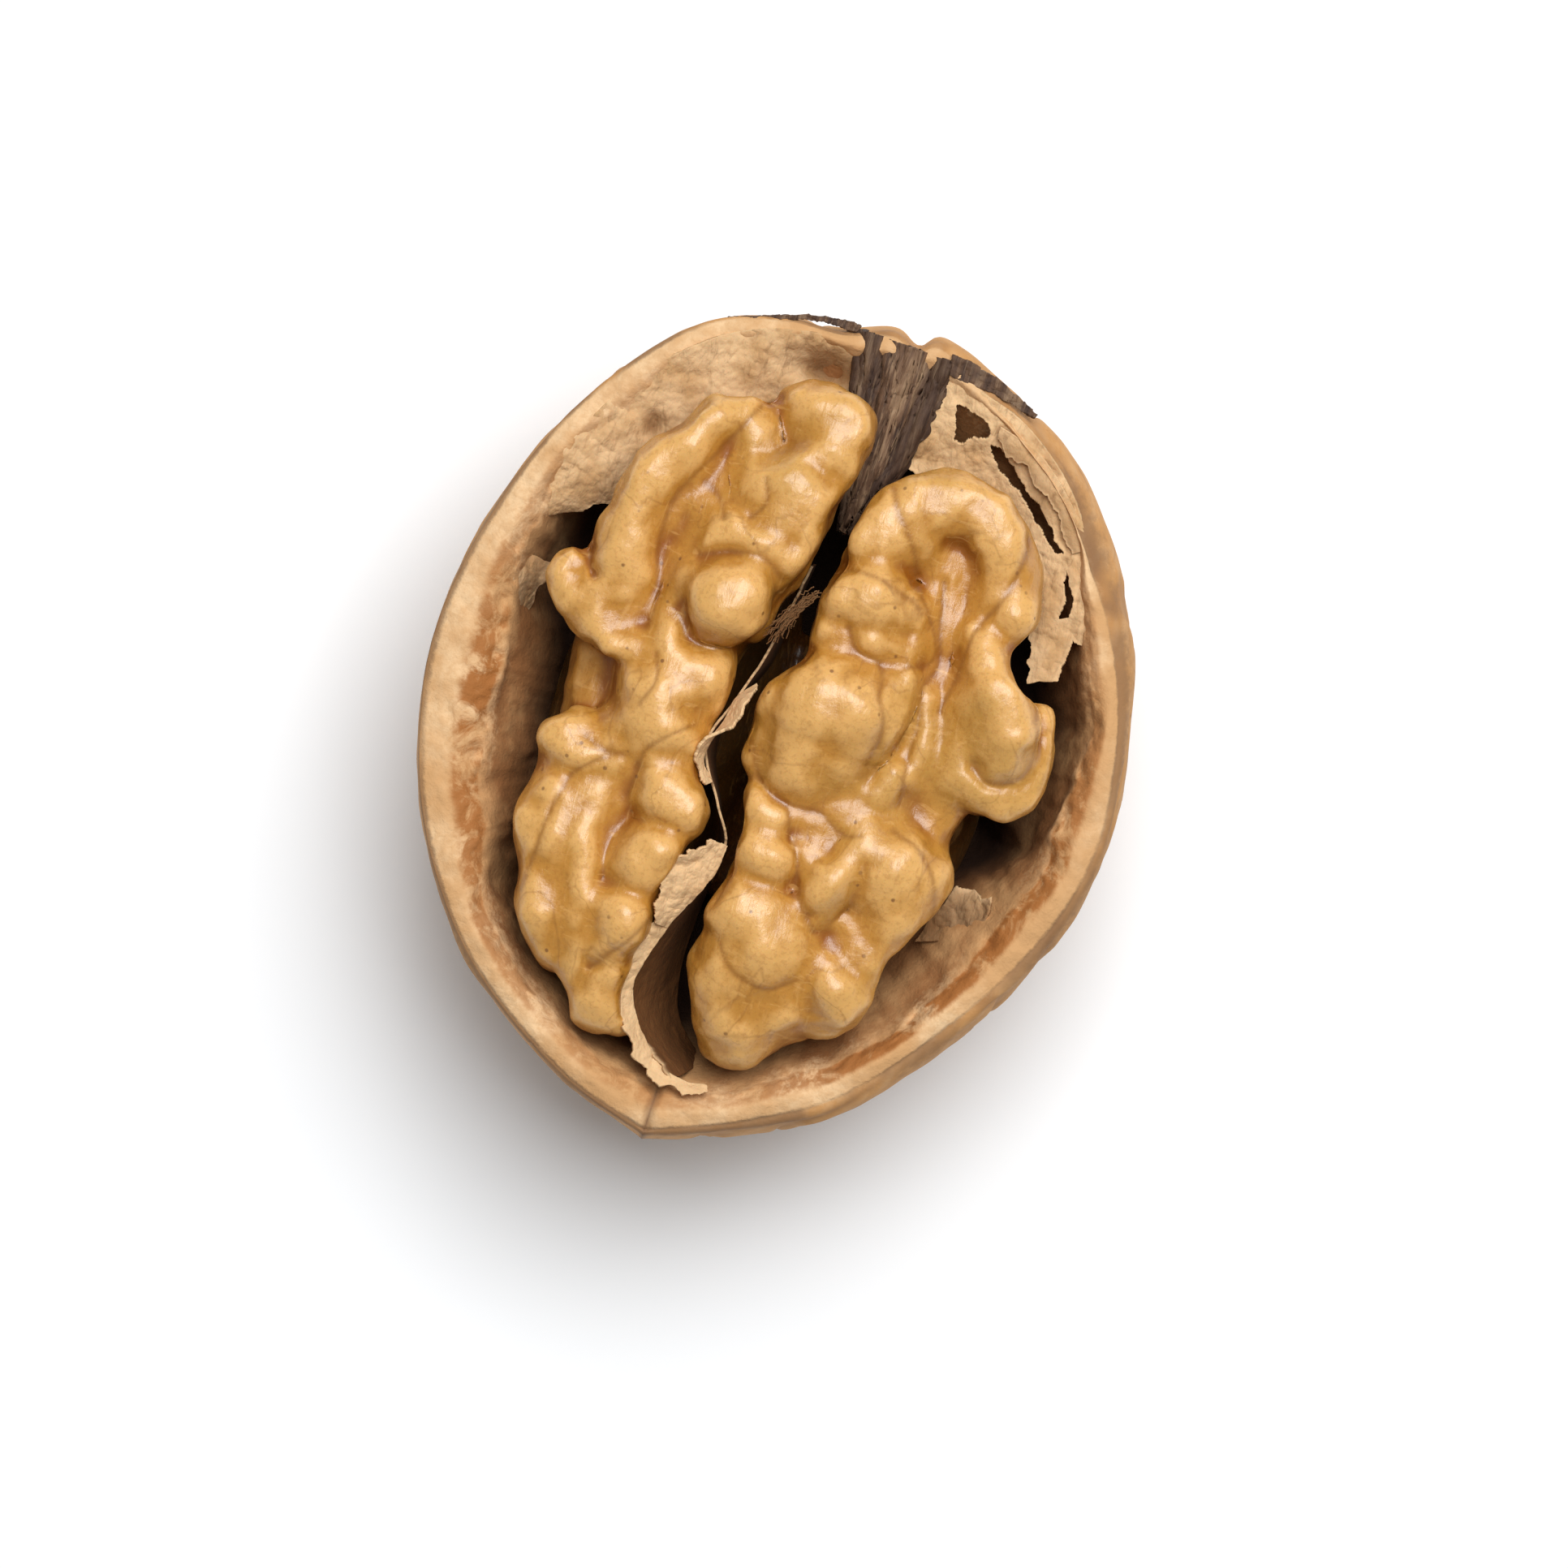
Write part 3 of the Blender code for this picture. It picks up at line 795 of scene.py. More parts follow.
LEFT_OUTLINE: list[Place] = [
    (0.45, 15.4), (0.1, 16.4), (-0.9, 17.1), (-2.2, 17.35), (-3.5, 17.1), (-4.5, 16.3),
    (-5.2, 15.4), (-6.6, 15.5), (-7.8, 15.2), (-8.5, 14.2), (-9.1, 13.0), (-10.0, 12.0),
    (-10.8, 10.5), (-11.15, 9.0), (-11.15, 8.2), (-11.6, 7.2), (-11.4, 6.3), (-11.4, 5.8),
    (-12.2, 5.95), (-13.1, 5.1), (-13.2, 4.2), (-12.7, 3.2), (-12.0, 2.4), (-11.2, 1.6),
    (-10.8, 0.4), (-10.5, -0.8), (-10.2, -1.8), (-10.9, -2.6), (-11.15, -3.8), (-10.8, -4.9),
    (-10.85, -6.0), (-11.05, -7.9), (-10.5, -9.1), (-9.8, -10.0), (-9.65, -11.4), (-9.1, -12.6),
    (-8.4, -13.4), (-7.6, -14.3), (-6.3, -14.8), (-5.7, -15.3), (-5.2, -16.2), (-4.6, -16.8),
    (-3.7, -17.0), (-2.6, -16.7), (-1.9, -16.1), (-2.2, -15.3), (-3.0, -14.6), (-3.1, -13.4),
    (-2.7, -12.0), (-2.6, -10.4), (-2.7, -9.2), (-2.4, -7.8), (-2.0, -6.6), (-1.5, -5.6),
    (-1.6, -4.6), (-2.2, -3.6), (-2.8, -2.6), (-2.7, -1.4), (-2.5, 0.2), (-2.3, 1.6),
    (-1.9, 2.8), (-1.6, 3.8), (-1.5, 4.8), (-1.5, 6.0), (-1.0, 7.2), (-0.7, 8.6),
    (-0.3, 10.4), (-0.1, 12.0), (0.2, 13.6),
]  # fmt: skip
RIGHT_FOLDS: dict[str, Fold] = {
    "arch": [(2.4, 11.6, 21.8, 2.3), (3.3, 12.7, 21.8, 2.2), (4.8, 13.4, 21.7, 2.1),
             (6.4, 13.2, 21.4, 2.0), (7.7, 12.3, 21.3, 1.9), (8.3, 11.0, 21.0, 1.7),
             (8.6, 9.6, 20.8, 1.6)],
    "shoulder": [(1.9, 10.4, 21.9, 2.2), (3.2, 10.8, 21.4, 1.9)],
    "arch_outside": [(9.3, 11.4, 20.0, 1.6), (9.6, 10.0, 20.3, 1.6), (9.3, 9.0, 21.0, 1.8)],
    "inner_a": [(1.5, 7.4, 22.3, 2.0), (2.6, 7.5, 22.7, 2.2), (3.8, 7.3, 22.1, 1.8)],
    "inner_b": [(3.4, 5.7, 22.0, 1.6), (4.3, 5.7, 21.7, 1.5)],
    "inner_c": [(1.3, 5.4, 21.8, 1.7), (1.8, 4.7, 21.8, 1.6)],
    "big_dome": [(0.6, 1.9, 22.3, 2.5), (1.7, 2.1, 23.2, 2.9), (3.1, 2.0, 23.1, 2.7)],
    "big_side": [(4.7, 3.9, 22.0, 1.4), (4.6, 2.7, 22.0, 1.4)],
    "under_dome": [(0.4, -0.8, 21.4, 2.2), (1.6, -0.6, 22.1, 2.6), (3.2, -0.4, 21.9, 2.4)],
    "under_low": [(2.6, -2.2, 21.1, 2.2), (4.2, -2.2, 20.8, 2.0)],
    "small_a": [(0.5, -3.8, 21.3, 1.6), (1.3, -3.8, 21.3, 1.6)],
    "small_b": [(0.9, -5.7, 21.6, 1.7), (1.9, -5.6, 21.8, 1.8)],
    "small_c": [(3.2, -3.9, 20.9, 2.0), (3.2, -5.6, 21.0, 1.9)],
    "finger": [(5.5, -4.9, 21.3, 1.1), (4.9, -6.2, 21.8, 1.3), (4.4, -7.4, 21.5, 1.2)],
    "low_shoulder": [(6.3, -3.7, 21.2, 1.9), (7.6, -4.2, 21.5, 2.1), (8.6, -4.7, 20.9, 1.9)],
    "low_shoulder_foot": [(7.2, -5.4, 21.1, 1.8), (7.9, -6.6, 20.8, 1.9), (8.0, -8.0, 20.4, 1.8),
                          (7.6, -9.2, 20.2, 1.6)],
    "low_side": [(9.0, -3.4, 19.8, 1.3), (9.7, -4.7, 19.8, 1.4), (9.4, -6.0, 19.6, 1.4)],
    "low_round": [(6.7, -10.7, 20.7, 2.0), (7.3, -11.4, 20.3, 1.9), (6.8, -12.2, 19.7, 1.8)],
    "low_hollow": [(5.8, -8.4, 20.2, 2.0)],
    "end": [(1.4, -8.4, 21.8, 2.5), (2.4, -9.6, 21.6, 2.7), (1.7, -11.4, 20.9, 2.6),
            (2.4, -13.4, 20.0, 2.5), (3.0, -14.4, 19.2, 2.3)],
    "end_side": [(4.0, -9.6, 20.9, 2.2), (4.2, -12.0, 20.2, 2.3)],
    "channel_a": [(5.3, 9.4, 20.0, 1.6), (5.7, 7.6, 20.2, 1.5), (6.0, 5.6, 20.2, 1.4),
                  (6.1, 3.6, 20.3, 1.3)],
    "channel_b": [(7.0, 3.4, 20.2, 1.2), (7.2, 1.5, 20.6, 1.1), (7.0, 0.2, 20.4, 1.0)],
    "channel_tooth": [(6.2, -0.2, 21.0, 0.9), (5.8, -1.2, 20.9, 0.9)],
    "hollow_floor": [(5.2, 10.8, 19.9, 2.0), (6.4, 10.6, 19.6, 2.0), (7.0, 9.4, 19.4, 1.8)],
    "channel": [(6.4, 9.6, 19.4, 2.2), (6.6, 6.6, 19.5, 2.3), (6.6, 2.4, 19.6, 2.3),
                (6.4, -1.6, 20.0, 2.4)],
    "side_crest": [(8.2, 7.6, 20.9, 1.5), (8.9, 6.6, 21.3, 1.4)],
    "outer_knob": [(9.2, 6.0, 21.4, 1.5), (10.0, 4.9, 22.0, 1.9), (10.6, 3.6, 21.8, 1.9),
                   (10.9, 2.4, 21.2, 1.7)],
    "knob_flank": [(8.9, 4.6, 20.9, 2.0), (9.4, 2.8, 20.7, 2.0), (9.0, 1.2, 20.4, 1.8)],
    "hook": [(12.3, 4.8, 18.8, 1.1), (12.7, 3.6, 19.2, 1.3), (12.8, 2.2, 19.6, 1.4),
             (12.5, 0.9, 19.9, 1.5), (11.5, 0.3, 20.2, 1.5), (10.3, 0.6, 20.3, 1.5)],
    "side_foot": [(8.6, 1.0, 19.9, 1.8), (8.8, -1.2, 19.7, 1.8), (8.4, -2.6, 19.8, 1.6)],
}  # fmt: skip
RIGHT_BODIES: list[Body] = [
    ((5.4, 6.0, 16.4), (4.8, 8.6, 3.2), 2.0),
    ((2.4, 4.0, 18.0), (2.6, 8.0, 3.4), 6.0),
    ((4.2, -6.8, 16.6), (4.5, 8.8, 3.4), -6.0),
    ((10.6, 2.0, 15.6), (2.6, 3.0, 3.0), 0.0),
]
RIGHT_OUTLINE: list[Place] = [
    (0.5, 9.8), (0.8, 11.3), (1.2, 12.8), (2.3, 14.1), (3.8, 14.9), (5.5, 15.25), (7.0, 15.2),
    (8.2, 14.6), (9.2, 13.4), (10.3, 11.5), (10.8, 10.0), (10.9, 9.0), (10.4, 7.8),
    (10.1, 7.0), (10.4, 6.3), (11.1, 5.7), (12.2, 5.65), (13.0, 5.0), (13.5, 3.2), (13.65, 1.3),
    (13.2, 0.0), (12.1, -0.9), (11.0, -1.0), (10.5, -1.6), (10.4, -2.4), (10.6, -3.2),
    (10.9, -4.6), (10.4, -6.3), (9.3, -7.8), (8.85, -8.9), (9.05, -9.9), (9.0, -10.5),
    (8.6, -11.7), (8.0, -12.9), (6.8, -13.6), (5.6, -14.6), (4.4, -15.9), (3.2, -16.7),
    (2.0, -16.5), (0.7, -15.6), (-0.1, -14.4), (-0.6, -13.0), (-0.7, -11.0), (-0.4, -9.0),
    (-0.1, -7.5), (-0.1, -5.5), (-0.4, -4.2), (-0.6, -3.2), (-1.2, -2.0), (-1.3, -1.0),
    (-1.25, -0.2), (-1.4, 0.8), (-1.1, 2.0), (-0.4, 3.0), (0.3, 3.9), (0.2, 4.6), (0.0, 5.6),
    (0.0, 6.8), (0.3, 7.9), (0.65, 8.8),
]  # fmt: skip
LOW_BODIES: list[Body] = [
    ((-5.6, 0.0, 9.2), (5.6, 14.4, 5.6), -2.0),
    ((5.6, 0.0, 9.2), (5.6, 14.4, 5.6), 2.0),
    ((6.4, 11.4, 10.2), (3.6, 3.8, 2.6), 0.0),
    ((0.0, -4.0, 7.2), (4.0, 5.0, 2.4), 0.0),
]

# Creases pressed into the skin: the line, how wide it is and how deep.
Crease = tuple[list[Place], float, float]
LEFT_CREASES: list[Crease] = [
    ([(-4.4, 12.4), (-3.4, 12.9), (-2.0, 12.8), (-0.4, 12.5)], 0.55, 0.17),
    ([(-5.0, 10.0), (-4.2, 9.5), (-3.2, 9.3), (-2.2, 9.2)], 0.61, 0.14),
    ([(-6.0, 7.2), (-5.2, 7.5), (-4.0, 7.85), (-2.8, 7.8), (-1.9, 7.2)], 0.44, 0.20),
    ([(-6.1, 4.2), (-5.4, 3.2), (-4.2, 2.8), (-2.6, 3.2)], 0.66, 0.34),
    ([(-5.0, 14.6), (-5.9, 13.2), (-7.2, 11.2), (-7.8, 9.4), (-7.9, 7.4), (-7.5, 5.6),
      (-7.4, 3.2)], 0.85, 0.23),
    ([(-5.4, 14.9), (-6.4, 12.6), (-7.6, 10.6), (-8.1, 9.0), (-8.1, 7.5), (-7.8, 6.0),
      (-7.4, 4.5), (-7.4, 3.0)], 0.26, 0.07),
    ([(-7.6, -2.2), (-5.8, -2.7), (-3.0, -2.6)], 0.66, 0.26),
    ([(-7.2, -3.4), (-8.0, -4.1), (-8.7, -5.0), (-9.0, -6.6), (-9.2, -8.2),
      (-9.3, -11.0)], 0.28, 0.09),
    ([(-10.9, -4.9), (-9.6, -4.8), (-8.6, -5.2)], 0.66, 0.23),
    ([(-11.0, -6.8), (-9.9, -6.8)], 0.55, 0.15),
    ([(-10.4, -9.3), (-9.2, -9.6), (-8.2, -10.2)], 0.61, 0.19),
    ([(-7.9, -6.0), (-7.9, -8.0), (-7.4, -10.2), (-6.9, -12.2), (-6.3, -13.8)], 0.66, 0.25),
    ([(-5.7, -4.5), (-5.8, -7.0), (-5.6, -9.3), (-5.2, -12.3), (-4.8, -14.0)], 0.85, 0.25),
    ([(-1.8, -6.2), (-3.4, -6.2), (-5.0, -5.9)], 0.55, 0.24),
    ([(-2.3, -9.5), (-3.8, -9.6), (-5.4, -9.4)], 0.66, 0.28),
    ([(-2.8, -12.7), (-3.8, -12.8), (-5.0, -13.4)], 0.55, 0.21),
    ([(-2.8, -10.2), (-3.4, -11.5), (-4.3, -12.7), (-5.0, -13.6)], 0.26, 0.08),
    ([(-3.6, -0.8), (-5.0, -2.0), (-5.7, -3.0), (-5.8, -5.0)], 0.24, 0.05),
    ([(-6.6, 1.9), (-6.2, 0.6), (-6.6, -0.6)], 0.24, 0.05),
    ([(-6.9, 10.6), (-6.0, 10.1), (-5.4, 9.2)], 0.24, 0.06),
    ([(-4.2, 11.6), (-3.8, 10.6), (-4.3, 9.6)], 0.24, 0.06),
    ([(-8.6, -2.9), (-7.6, -3.3), (-6.6, -3.2)], 0.24, 0.06),
    ([(-11.15, 5.7), (-10.9, 5.1), (-10.6, 4.6)], 0.30, 0.50),
    ([(-4.7, 15.3), (-4.2, 14.3), (-4.0, 13.2)], 0.85, 0.28),
]  # fmt: skip
RIGHT_CREASES: list[Crease] = [
    ([(0.4, 8.95), (1.8, 9.05), (3.4, 9.15), (4.5, 9.4)], 0.66, 0.19),
    ([(0.1, 6.15), (1.8, 6.05), (3.2, 6.35), (4.8, 6.6)], 0.55, 0.21),
    ([(0.2, 4.15), (1.2, 4.4), (2.4, 4.75), (3.6, 4.8), (4.4, 4.7)], 0.55, 0.23),
    ([(-1.2, -0.2), (-0.3, -1.6), (0.6, -2.6), (2.4, -3.0), (3.8, -2.0), (4.9, -0.4)], 0.61, 0.23),
    ([(-0.2, -4.7), (1.0, -4.75), (2.3, -4.7)], 0.50, 0.21),
    ([(0.2, -7.0), (1.5, -7.15), (2.8, -6.9)], 0.61, 0.25),
    ([(2.5, -4.2), (3.0, -5.4), (3.4, -6.8), (4.2, -8.0)], 0.50, 0.22),
    ([(6.1, -4.8), (6.0, -5.8), (5.6, -6.8), (5.0, -7.9)], 0.50, 0.25),
    ([(5.2, -8.6), (5.3, -11.2), (5.8, -13.0)], 0.77, 0.25),
    ([(5.8, -8.6), (7.0, -9.7), (8.9, -10.3)], 0.61, 0.24),
    ([(4.9, 8.0), (4.9, 6.4), (5.0, 4.8), (5.3, 3.0), (5.1, 1.0), (5.3, -0.6)], 0.55, 0.22),
    ([(8.0, 8.4), (7.6, 6.6), (7.4, 4.4), (7.8, 2.4), (8.0, 0.4)], 0.85, 0.19),
    ([(9.0, 7.6), (9.6, 7.3), (10.4, 7.2)], 0.66, 0.22),
    ([(11.6, 5.5), (11.9, 4.5), (12.3, 3.3), (12.3, 2.1), (11.7, 1.3), (10.7, 1.0),
      (9.8, 1.4)], 0.37, 0.34),
    ([(7.6, -1.6), (8.4, -2.4), (9.6, -2.6)], 0.66, 0.22),
    ([(1.9, 13.0), (2.6, 11.9), (3.9, 10.3), (4.3, 9.2), (5.0, 8.2), (5.8, 7.2), (6.3, 6.0),
      (5.9, 5.2), (5.2, 4.9)], 0.28, 0.09),
    ([(0.4, 8.3), (1.2, 8.6), (2.8, 8.55), (4.4, 8.1), (5.1, 7.6)], 0.24, 0.06),
    ([(1.9, 5.9), (2.6, 5.0), (3.8, 4.8), (4.3, 4.2), (4.4, 3.2), (4.8, 2.2), (4.9, 1.0),
      (4.7, 0.0)], 0.28, 0.12),
    ([(-1.1, -0.4), (-0.2, -1.9), (0.8, -2.8), (1.8, -3.3), (2.3, -4.3), (3.0, -5.5),
      (3.4, -6.8), (4.2, -7.9), (4.9, -8.6)], 0.26, 0.09),
    ([(1.6, -3.0), (2.4, -3.0), (3.4, -2.95), (4.2, -3.4), (5.0, -3.6), (5.6, -3.4)], 0.24, 0.06),
    ([(9.0, 12.8), (8.95, 11.0), (8.6, 9.6), (8.0, 8.2), (7.7, 6.8), (7.7, 5.0),
      (7.4, 3.5)], 0.28, 0.10),
    ([(7.0, -2.8), (8.4, -3.3), (9.4, -4.2), (9.9, -5.2), (10.1, -6.3)], 0.26, 0.08),
    ([(5.9, 13.4), (5.7, 12.4), (6.0, 11.6)], 0.55, 0.13),
    ([(5.6, 9.5), (6.0, 7.8), (6.6, 5.6), (6.2, 4.2), (6.6, 2.2), (6.7, 0.0),
      (6.9, -1.4)], 0.28, 0.14),
    ([(0.6, -10.4), (1.8, -11.6), (3.4, -11.9), (4.8, -11.0)], 0.24, 0.05),
]  # fmt: skip


class Flesh:
    """The smooth surface that wraps a set of folds and bodies."""

    margin = 4.0  # how far the chart of the outline goes past it
    cell = 0.2  # how far apart the chart's places are
    stride = 0.8  # the furthest that a point moves in one round of wrapping
    least_slope = 0.15

    def __init__(
        self,
        folds: dict[str, Fold],
        bodies: list[Body],
        melt: float,
        outline: list[Place] | None = None,
        shoulder: float = 0.45,
    ) -> None:
        """Takes the folds and bodies, and the outline that holds them in.

        Args:
            folds: The folds on top.
            bodies: The flesh under them.
            melt: How widely neighbours run into each other.
            outline: The silhouette from above, if the flesh has one.
            shoulder: How rounded the flesh is where it meets its outline.
        """
        self.chains = [[(x, y, top - r, r) for x, y, top, r in chain] for chain in folds.values()]
        self.bodies = bodies
        self.melt = melt
        self.shoulder = shoulder
        self.outline = outline
        if outline:
            self._chart(smooth_curve(outline, 4 * len(outline), closed=True))

    def reach(self, points: Points) -> tuple[Points, Points]:
        """Measures how far points lie outside the surface.

        Args:
            points: Places in millimetres, one row each.

        Returns:
            The distance of each point, below 0 inside, and the direction away from the flesh.
        """
        gaps, ways = [], []
        for chain in self.chains:
            gap, way = self._from_chain(points, chain)
            gaps.append(gap)
            ways.append(way)
        for body in self.bodies:
            gap, way = self._from_body(points, *body)
            gaps.append(gap)
            ways.append(way)
        gap = np.array(gaps)
        least = gap.min(axis=0)
        weight = np.exp(-(gap - least) / self.melt)
        total = weight.sum(axis=0)
        way = np.einsum("kn,knd->nd", weight / total, np.array(ways))
        gap = least - self.melt * (np.log(total) - 0.5)
        if self.outline is None:
            return gap, way
        edge_gap, edge_way = self._from_outline(points)
        most = np.maximum(gap, edge_gap)
        a = np.exp((gap - most) / self.shoulder)
        b = np.exp((edge_gap - most) / self.shoulder)
        share = (a / (a + b))[:, None]
        return most + self.shoulder * np.log(a + b), share * way + (1 - share) * edge_way

    def _chart(self, ring: Points) -> None:
        """Charts how far every place in plain view lies outside the outline.

        Args:
            ring: The outline, a row for each point.
        """
        self.corner = ring.min(axis=0) - self.margin
        counts = ((ring.max(axis=0) + self.margin - self.corner) / self.cell).astype(int) + 1
        x, y = (self.corner[i] + self.cell * np.arange(counts[i]) for i in (0, 1))
        places = np.column_stack([axis.ravel() for axis in np.meshgrid(x, y, indexing="ij")])
        gap = near_line(places, np.vstack([ring, ring[:1]]))
        gap[inside(places, ring.tolist())] *= -1.0
        self.chart = gap.reshape(counts[0], counts[1])
        self.slopes = np.gradient(self.chart, self.cell)

    def _from_outline(self, points: Points) -> tuple[Points, Points]:
        """Measures sideways from the outline, by its chart.

        Args:
            points: Places in millimetres, one row each.

        Returns:
            How far each point lies outside, and the direction away from the outline.
        """
        at = np.clip((points[:, :2] - self.corner) / self.cell, 0, np.array(self.chart.shape) - 2)
        cell = at.astype(int)
        i, j = cell.T
        u, v = (at - cell).T

        def read(values: Points) -> Points:
            """Reads a chart between its four nearest places."""
            low = values[i, j] * (1 - u) + values[i + 1, j] * u
            high = values[i, j + 1] * (1 - u) + values[i + 1, j + 1] * u
            return low * (1 - v) + high * v

        way = np.column_stack([read(self.slopes[0]), read(self.slopes[1]), np.zeros(len(points))])
        return read(self.chart), way

    @staticmethod
    def _from_chain(points: Points, chain: Fold) -> tuple[Points, Points]:
        """Measures from one fold, a row of balls joined up.

        Args:
            points: Places in millimetres, one row each.
            chain: The centre and radius of each ball.

        Returns:
            How far each point lies outside, and the direction away from the fold.
        """
        gap = np.full(len(points), FAR)
        way = np.zeros_like(points)
        for start, end in zip(chain, chain[1:] if len(chain) > 1 else chain):
            a, b = np.array(start), np.array(end)
            along = b[:3] - a[:3]
            t = np.clip((points - a[:3]) @ along / max(along @ along, 1e-12), 0.0, 1.0)
            off = points - a[:3] - t[:, None] * along
            length = np.linalg.norm(off, axis=1)
            this = length - (a[3] + (b[3] - a[3]) * t)
            closer = this < gap
            gap[closer] = this[closer]
            way[closer] = off[closer] / np.maximum(length[closer], 1e-9)[:, None]
        return gap, way

    @staticmethod
    def _from_body(
        points: Points, centre: Place, halves: Place, turn: float
    ) -> tuple[Points, Points]:
        """Measures from one ellipsoid, nearly.

        Args:
            points: Places in millimetres, one row each.
            centre: Its centre.
            halves: Its half sizes.
            turn: Its turn about Z, in degrees.

        Returns:
            How far each point lies outside, and the direction away from the body.
        """
        c, s = math.cos(math.radians(turn)), math.sin(math.radians(turn))
        spin = np.array([[c, -s, 0], [s, c, 0], [0, 0, 1]])
        local = (points - centre) @ spin
        scaled = local / halves
        far = np.maximum(np.linalg.norm(scaled, axis=1), 1e-6)
        slope = scaled / np.array(halves)
        steep = np.maximum(np.linalg.norm(slope, axis=1), 1e-6)
        return far * (far - 1.0) / steep, (slope / steep[:, None]) @ spin.T

    def wrapped(self, points: Points, rounds: int = 6) -> Points:
        """Moves points onto the surface, along the way that leads away from the flesh.

        Args:
            points: Places near the surface, one row each.
            rounds: How many times to move them.

        Returns:
            Where they end up.
        """
        for _ in range(rounds):
            gap, way = self.reach(points)
            steep = np.maximum((way * way).sum(axis=1), self.least_slope)
            points = points - (np.clip(gap, -self.stride, self.stride) / steep)[:, None] * way
        return points

    def rough(self, name: str, step: float) -> bpy.types.Mesh:
        """Makes a rough closed skin of even faces round all the folds and bodies.

        Args:
            name: The mesh's name.
            step: How far apart its vertices are.

        Returns:
            The mesh, in millimetres.
        """
        bm = bmesh.new()
        for chain in self.chains:
            for start, end in zip(chain, chain[1:] if len(chain) > 1 else chain):
                gap = math.dist(start[:3], end[:3])
                count = max(1, math.ceil(gap / (0.5 * min(start[3], end[3]))))
                for i in range(count + 1):
                    x, y, z, r = (a + (b - a) * i / count for a, b in zip(start, end))
                    place = Matrix.Translation((x, y, z))
                    bmesh.ops.create_icosphere(bm, subdivisions=2, radius=r, matrix=place)
        for centre, halves, turn in self.bodies:
            place = Matrix.Translation(centre) @ Matrix.Rotation(math.radians(turn), 4, "Z")
            place = place @ Matrix.Diagonal((*halves, 1.0))
            bmesh.ops.create_icosphere(bm, subdivisions=4, radius=1.0, matrix=place)
        mesh = bpy.data.meshes.new(name)
        bm.to_mesh(mesh)
        bm.free()
        return melted(mesh, step)


def melted(mesh: bpy.types.Mesh, step: float) -> bpy.types.Mesh:
    """Turns overlapping solids into one closed skin of even faces.

    Args:
        mesh: The solids, which it uses up.
        step: How far apart the skin's vertices are.

    Returns:
        The skin.
    """
    name = mesh.name
    helper = bpy.data.objects.new(name + "_rough", mesh)
    bpy.context.scene.collection.objects.link(helper)
    melt = helper.modifiers.new("melt", "REMESH")
    melt.mode = "VOXEL"
    melt.voxel_size = step
    graph = bpy.context.evaluated_depsgraph_get()
    skin = bpy.data.meshes.new_from_object(helper.evaluated_get(graph))
    bpy.data.objects.remove(helper)
    bpy.data.meshes.remove(mesh)
    skin.name = name
    return skin


@dataclass
class Lobe:
    """One lobe of the kernel, with its folds, creases and skin."""

    name: str
    folds: dict[str, Fold]
    bodies: list[Body]
    creases: list[Crease]
    outline: list[Place] | None = None
    step: float = 0.15
    melt: float = 0.33
    wander: float = 0.25
    seed: float = 0.0
    veined_under: float = 0.45  # a crease narrower than this holds a dark vein
    vein_half: float = 0.12
    shade_from: float = 18.2  # painted shade darkens the skin from this height down to the next
    shade_to: float = 14.0

    def build(self) -> bpy.types.Mesh:
        """Builds the mesh and marks its relief and how deep it lies, both for painted shade, and its
        veins.

        Returns:
            The lobe, in millimetres.
        """
        flesh = Flesh(self.folds, self.bodies, self.melt, self.outline)
        mesh = flesh.rough(self.name, self.step)
        start = points_of(mesh)
        drift = np.column_stack(
            [cloud(start, 2.6, 2, self.seed + shift) for shift in (3.1, 17.7, 31.3)]
        )
        places = flesh.wrapped(start + self.wander * drift) - self.wander * drift
        places = relaxed(mesh, places, 2)
        move_points(mesh, places)
        normals = normals_of(mesh)
        vein = self._crease(places, normals, drift)
        lumps = cloud(places, (1.5, 2.1, 1.8), 3, self.seed + 9.0)
        fine = cloud(places, 0.6, 3, self.seed + 21.0)
        places = places + normals * (0.07 * lumps + 0.016 * fine)[:, None]
        move_points(mesh, places)
        mark(mesh, "relief_shade", self._relief_shade(mesh, places, normals))
        mark(mesh, "vein", vein)
        mark(mesh, "deep", smooth_step(self.shade_from, self.shade_to, places[:, 2]))
        return mesh

    def _crease(self, places: Points, normals: Points, drift: Points) -> Points:
        """Presses the creases straight down into the skin where it faces up.

        Args:
            places: The skin's vertices, which are moved.
            normals: Their normals.
            drift: How the lines wander at each vertex.

        Returns:
            How much of a vein each vertex holds.
        """
        up = smooth_step(0.0, 0.35, normals[:, 2])
        vein = np.zeros(len(places))
        for line, width, depth in self.creases:
            curve = smooth_curve(line, 10 * len(line))
            wobble = 1.0 + 0.35 * cloud(places, 1.6, 2, self.seed + 5.0)
            gap = near_line(places + 0.14 * drift, curve) * wobble
            places[:, 2] -= depth * up * np.exp(-((gap / width) ** 2))
            if width < self.veined_under:
                vein = np.maximum(vein, up * np.exp(-((gap / self.vein_half) ** 2)))
        return vein

    @staticmethod
    def _relief_shade(mesh: bpy.types.Mesh, places: Points, normals: Points) -> Points:
        """Tells crests from hollows, by how far the skin stands off its own smoothed forms, for the
        painted shade in the skin's colour.

        Args:
            mesh: The lobe.
            places: Its vertices.
            normals: Their normals.

        Returns:
            A number for each vertex, from 0 in a hollow or on a steep flank to 1 on a crest.
        """
        flat = relaxed(mesh, places, 60)
        flatter = relaxed(mesh, flat, 180)
        near = ((places - flat) * normals).sum(axis=1)
        wide = ((places - flatter) * normals).sum(axis=1)
        # Painted shade: steep flanks are marked lower, so their colour is darker.
        steep = smooth_step(0.92, 0.35, normals[:, 2])
        return np.clip(0.58 + 1.9 * near + 0.65 * wide - 0.30 * steep, 0.0, 1.0)


